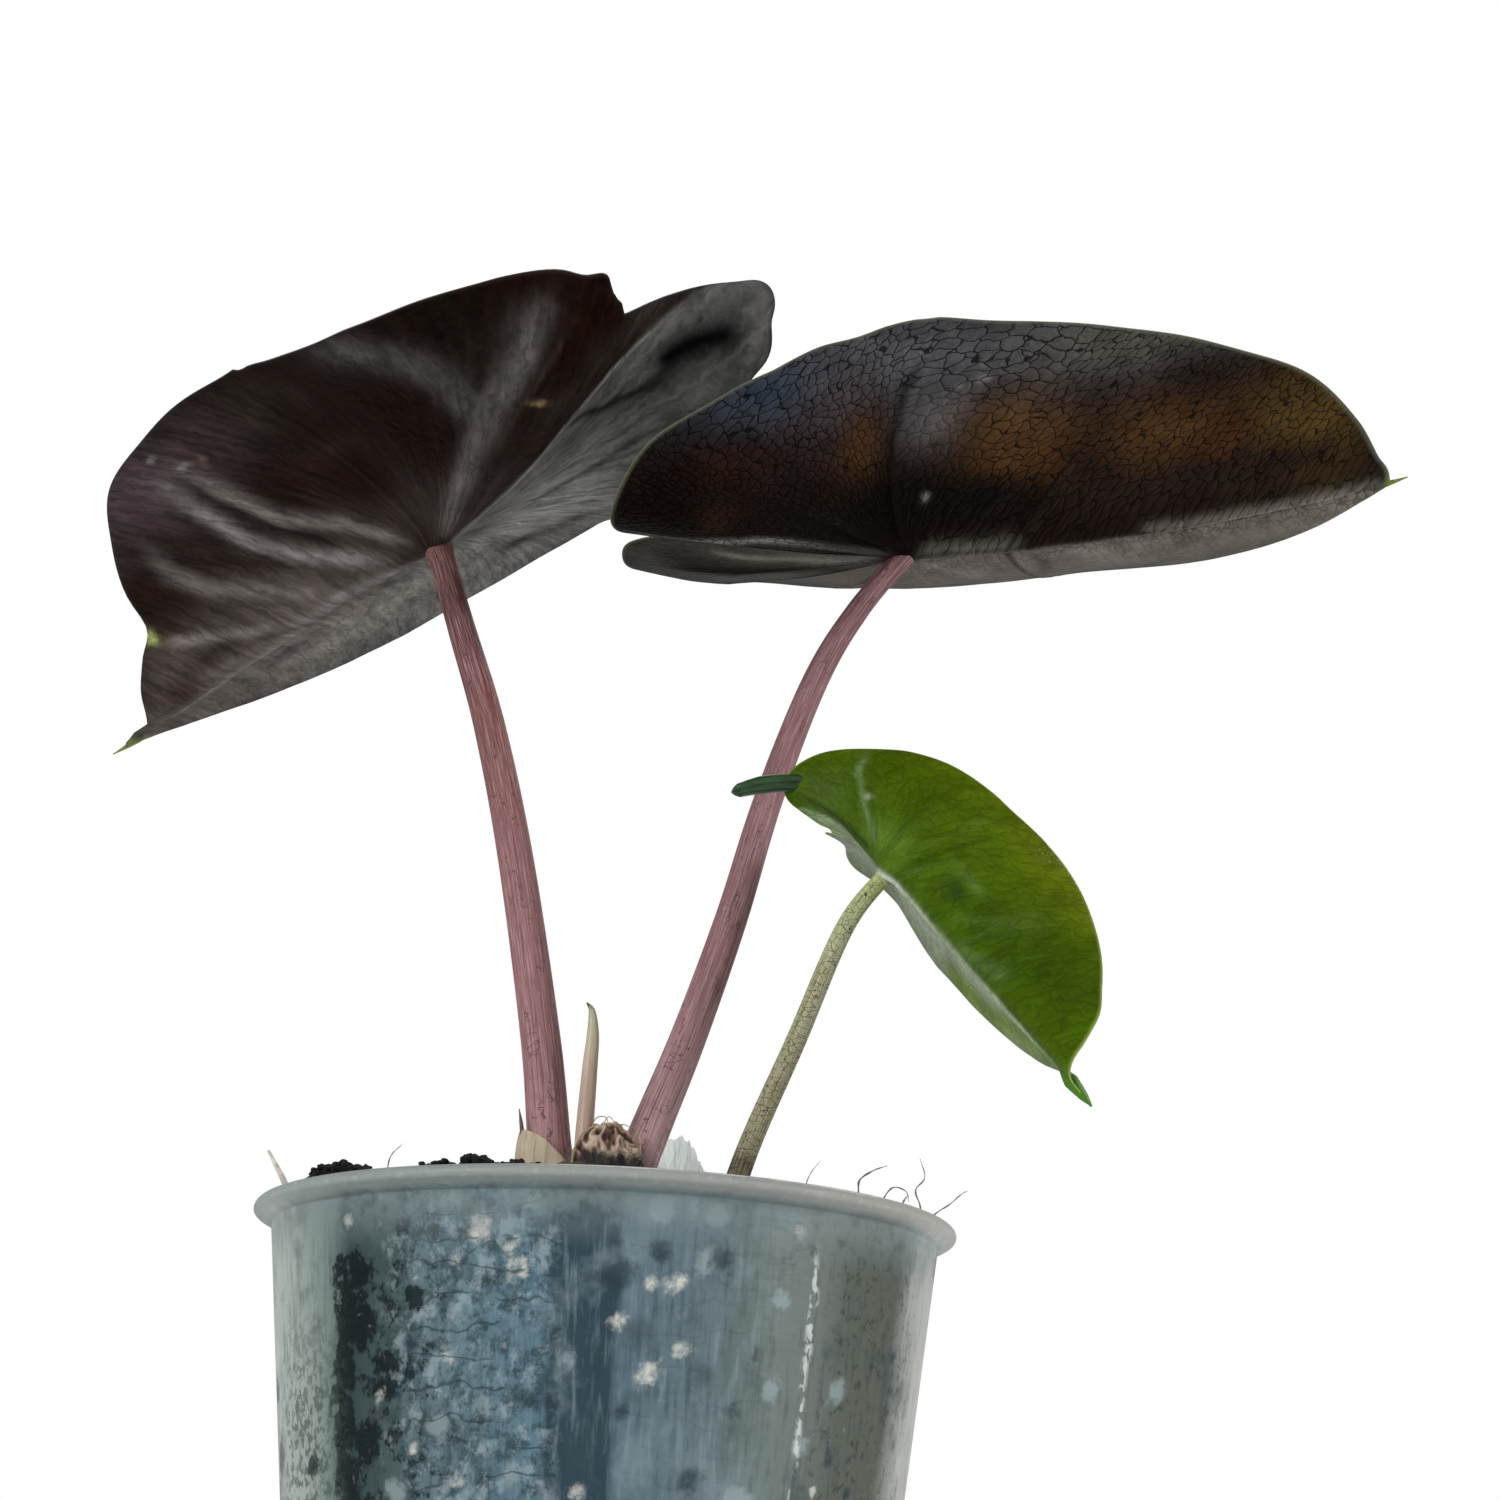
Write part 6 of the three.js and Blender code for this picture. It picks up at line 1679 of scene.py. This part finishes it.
def potSkin():
    material, tree, shader = newMaterial(
        "frostedPlastic", Roughness=0.3, Specular_IOR_Level=0.1, Alpha=wallLook["alpha"])
    # place in mm, and the band across the front: 0 at the left edge, 1 at the right, a little wavy
    place = stretched(tree, placeOf(tree), (1000.0, 1000.0, 1000.0))
    x, y, z = split(tree, place)
    radius = scaled(tree, z, 0.1195, 37.0)
    waver = cloudy(tree, stretched(tree, place, (0.16, 0.16, 0.05)), 1.0, 3.0)
    bent = scaled(tree, waver, 0.06, -0.03)
    across = plus(tree, calculate(tree, "DIVIDE", x, radius), bent)
    band = scaled(tree, across, 0.5, 0.5)
    # the bands lay painted reflections of the room over the soil seen through the wall
    colour = colourStops(tree, band, wallLook["soilAndReflectionBands"])

    # upright streaks and clouds, pale ones only in the blue middle part
    streaks = cloudy(tree, stretched(tree, place, (1.1, 1.1, 0.035)), 1.0, 4.0, 0.6)
    clouds = cloudy(tree, place, 0.11, 4.0, 0.6)
    speckle = cloudy(tree, place, 0.75, 5.0, 0.7)
    coarse = cloudy(tree, place, 0.35, 4.0, 0.6)
    ragged = scaled(tree, speckle, 1.2, -0.6)
    ragged = plus(tree, ragged, scaled(tree, coarse, 1.6, -0.8))
    back = softEdge(tree, y, -22.0, -8.0)
    bluePart = within(tree, band, 0.24, 0.74, 0.04)
    colour = overlay(tree, colour, times(tree, softEdge(tree, streaks, 0.5, 0.72, 0.0, 0.35), bluePart),
                     (0.22, 0.29, 0.33))
    colour = overlay(tree, colour, softEdge(tree, streaks, 0.28, 0.5, 0.45, 0.0), (0.025, 0.04, 0.05))
    colour = overlay(tree, colour, times(tree, softEdge(tree, clouds, 0.52, 0.7, 0.0, 0.5), bluePart),
                     (0.17, 0.22, 0.24))
    colour = overlay(tree, colour, softEdge(tree, clouds, 0.3, 0.46, 0.55, 0.0), (0.035, 0.055, 0.06))

    # moss at the left, specks low at both edges
    grainMark, paleMark, lumpMark = split(tree, placeOf(tree, "wallMarks"))
    mossMark = split(tree, placeOf(tree, "mossMarks"))[0]
    mossBand = larger(tree, within(tree, band, 0.115, 0.15, 0.02),
                      times(tree, within(tree, band, 0.13, 0.30, 0.05), 0.52))
    mossBand = times(tree, mossBand, softEdge(tree, z, 74.0, 86.0, 0.95, 0.2))
    moss = larger(tree, mossMark, mossBand)
    moss = softEdge(tree, plus(tree, moss, ragged), 0.42, 0.72)
    colour = overlay(tree, colour, moss, (0.0015, 0.007, 0.008), 0.93)
    lowLeft = times(tree, within(tree, band, 0.02, 0.12, 0.03), softEdge(tree, z, 58.0, 80.0, 1.0, 0.0))
    lowLeft = times(tree, lowLeft, softEdge(tree, speckle, 0.47, 0.56))
    colour = overlay(tree, colour, lowLeft, (0.05, 0.075, 0.062), 0.8)
    rightSpecks = times(tree, within(tree, band, 0.82, 0.96, 0.03), softEdge(tree, speckle, 0.53, 0.63))
    colour = overlay(tree, colour, rightSpecks, (0.03, 0.032, 0.028), 0.7)

    # dim and light mottles, pale clouds, dark lumps and bright grains; the back has its own by a rule
    leftPart = within(tree, band, 0.19, 0.44, 0.03)
    dim = times(tree, softEdge(tree, cloudy(tree, place, 0.42, 5.0, 0.75), 0.44, 0.62), leftPart)
    colour = overlay(tree, colour, dim, (0.016, 0.032, 0.036), 0.75)
    light = cloudy(tree, stretched(tree, place, (0.36, 0.36, 0.3), (3.0, 8.0, 5.0)), 1.0, 5.0, 0.7)
    light = times(tree, softEdge(tree, light, 0.50, 0.66), leftPart)
    colour = overlay(tree, colour, light, (0.28, 0.35, 0.38), 0.6)
    pale = softEdge(tree, plus(tree, paleMark, ragged), 0.3, 0.9, 0.0, 0.7)
    colour = overlay(tree, colour, pale, (0.24, 0.30, 0.31))
    hiddenLumps = times(tree, blobs(tree, place, 7.0, 0.35, 0.5, 1), back)
    lumpShade = softEdge(tree, plus(tree, lumpMark, ragged), 0.3, 1.0)
    lumpShade = larger(tree, lumpShade, hiddenLumps)
    colour = overlay(tree, colour, lumpShade, (0.020, 0.036, 0.046), 0.8)
    hiddenGrains = larger(tree, blobs(tree, place, 8.5, 0.24, 0.40, 2),
                          blobs(tree, place, 4.2, 0.12, 0.38, 3))
    grains = softEdge(tree, plus(tree, grainMark, ragged), 0.28, 1.05)
    grains = larger(tree, grains, times(tree, hiddenGrains, back))
    grainColour = colourStops(tree, speckle, [(0.35, (0.26, 0.31, 0.32)), (0.6, (0.58, 0.57, 0.50))])
    colour = overlay(tree, colour, grains, grainColour, 0.8)

    # dark cracks between the clods, level lines broken by noise
    ripple = scaled(tree, cloudy(tree, stretched(tree, place, (0.10, 0.10, 0.15)), 1.0, 3.0), 8.0, z)
    crack = calculate(tree, "FRACT", calculate(tree, "DIVIDE", ripple, 3.6))
    crackLine = within(tree, crack, 0.46, 0.53, 0.05)
    crackPart = larger(tree, within(tree, band, 0.22, 0.43, 0.02), times(tree, bluePart, 0.22))
    broken = cloudy(tree, stretched(tree, place, (0.16, 0.16, 0.6), (5.0, 2.0, 9.0)), 1.0, 3.0)
    broken = softEdge(tree, broken, 0.42, 0.52)
    crackLine = times(tree, times(tree, crackLine, broken), crackPart)
    colour = overlay(tree, colour, crackLine, (0.018, 0.03, 0.038), 0.85)

    # a painted glint down the wall, broken by noise, the haze under the lip, the lip, and painted shade in
    # the crease below it
    glint = softEdge(tree, cloudy(tree, stretched(tree, place, (0.9, 0.9, 0.5)), 1.0, 3.0), 0.47, 0.54)
    glint = times(tree, within(tree, band, 0.791, 0.796, 0.005), glint)
    glint = times(tree, glint, softEdge(tree, z, 78.0, 84.0, 1.0, 0.0))
    colour = overlay(tree, colour, glint, (0.75, 0.78, 0.74), 0.75)

    haze = times(tree, softEdge(tree, z, 79.0, 87.0), softEdge(tree, coarse, 0.3, 0.6, 0.3, 0.75))
    colour = overlay(tree, colour, haze, (0.17, 0.215, 0.22))
    lip = softEdge(tree, z, 87.2, 88.2)
    lipColour = mixColours(tree, band, wallLook["lipColour"], wallLook["lipRight"])
    lipColour = overlay(tree, lipColour, softEdge(tree, speckle, 0.5, 0.7, 0.0, 0.35), (0.42, 0.44, 0.41))
    colour = overlay(tree, colour, lip, lipColour, 0.92)
    # painted shade in the crease under the lip's overhang
    crease = within(tree, z, 86.9, 87.3, 0.15)
    colour = overlay(tree, colour, crease, (0.10, 0.12, 0.12), 0.3)
    tree.links.new(colour, shader.inputs["Base Color"])
    wave = cloudy(tree, stretched(tree, place, (0.25, 0.25, 0.5)), 1.0, 3.0)
    roughen(tree, shader, plus(tree, wave, times(tree, crackLine, -0.15)), 0.0004, 0.4)
    return material


makePot(potSkin())
print("pot made")
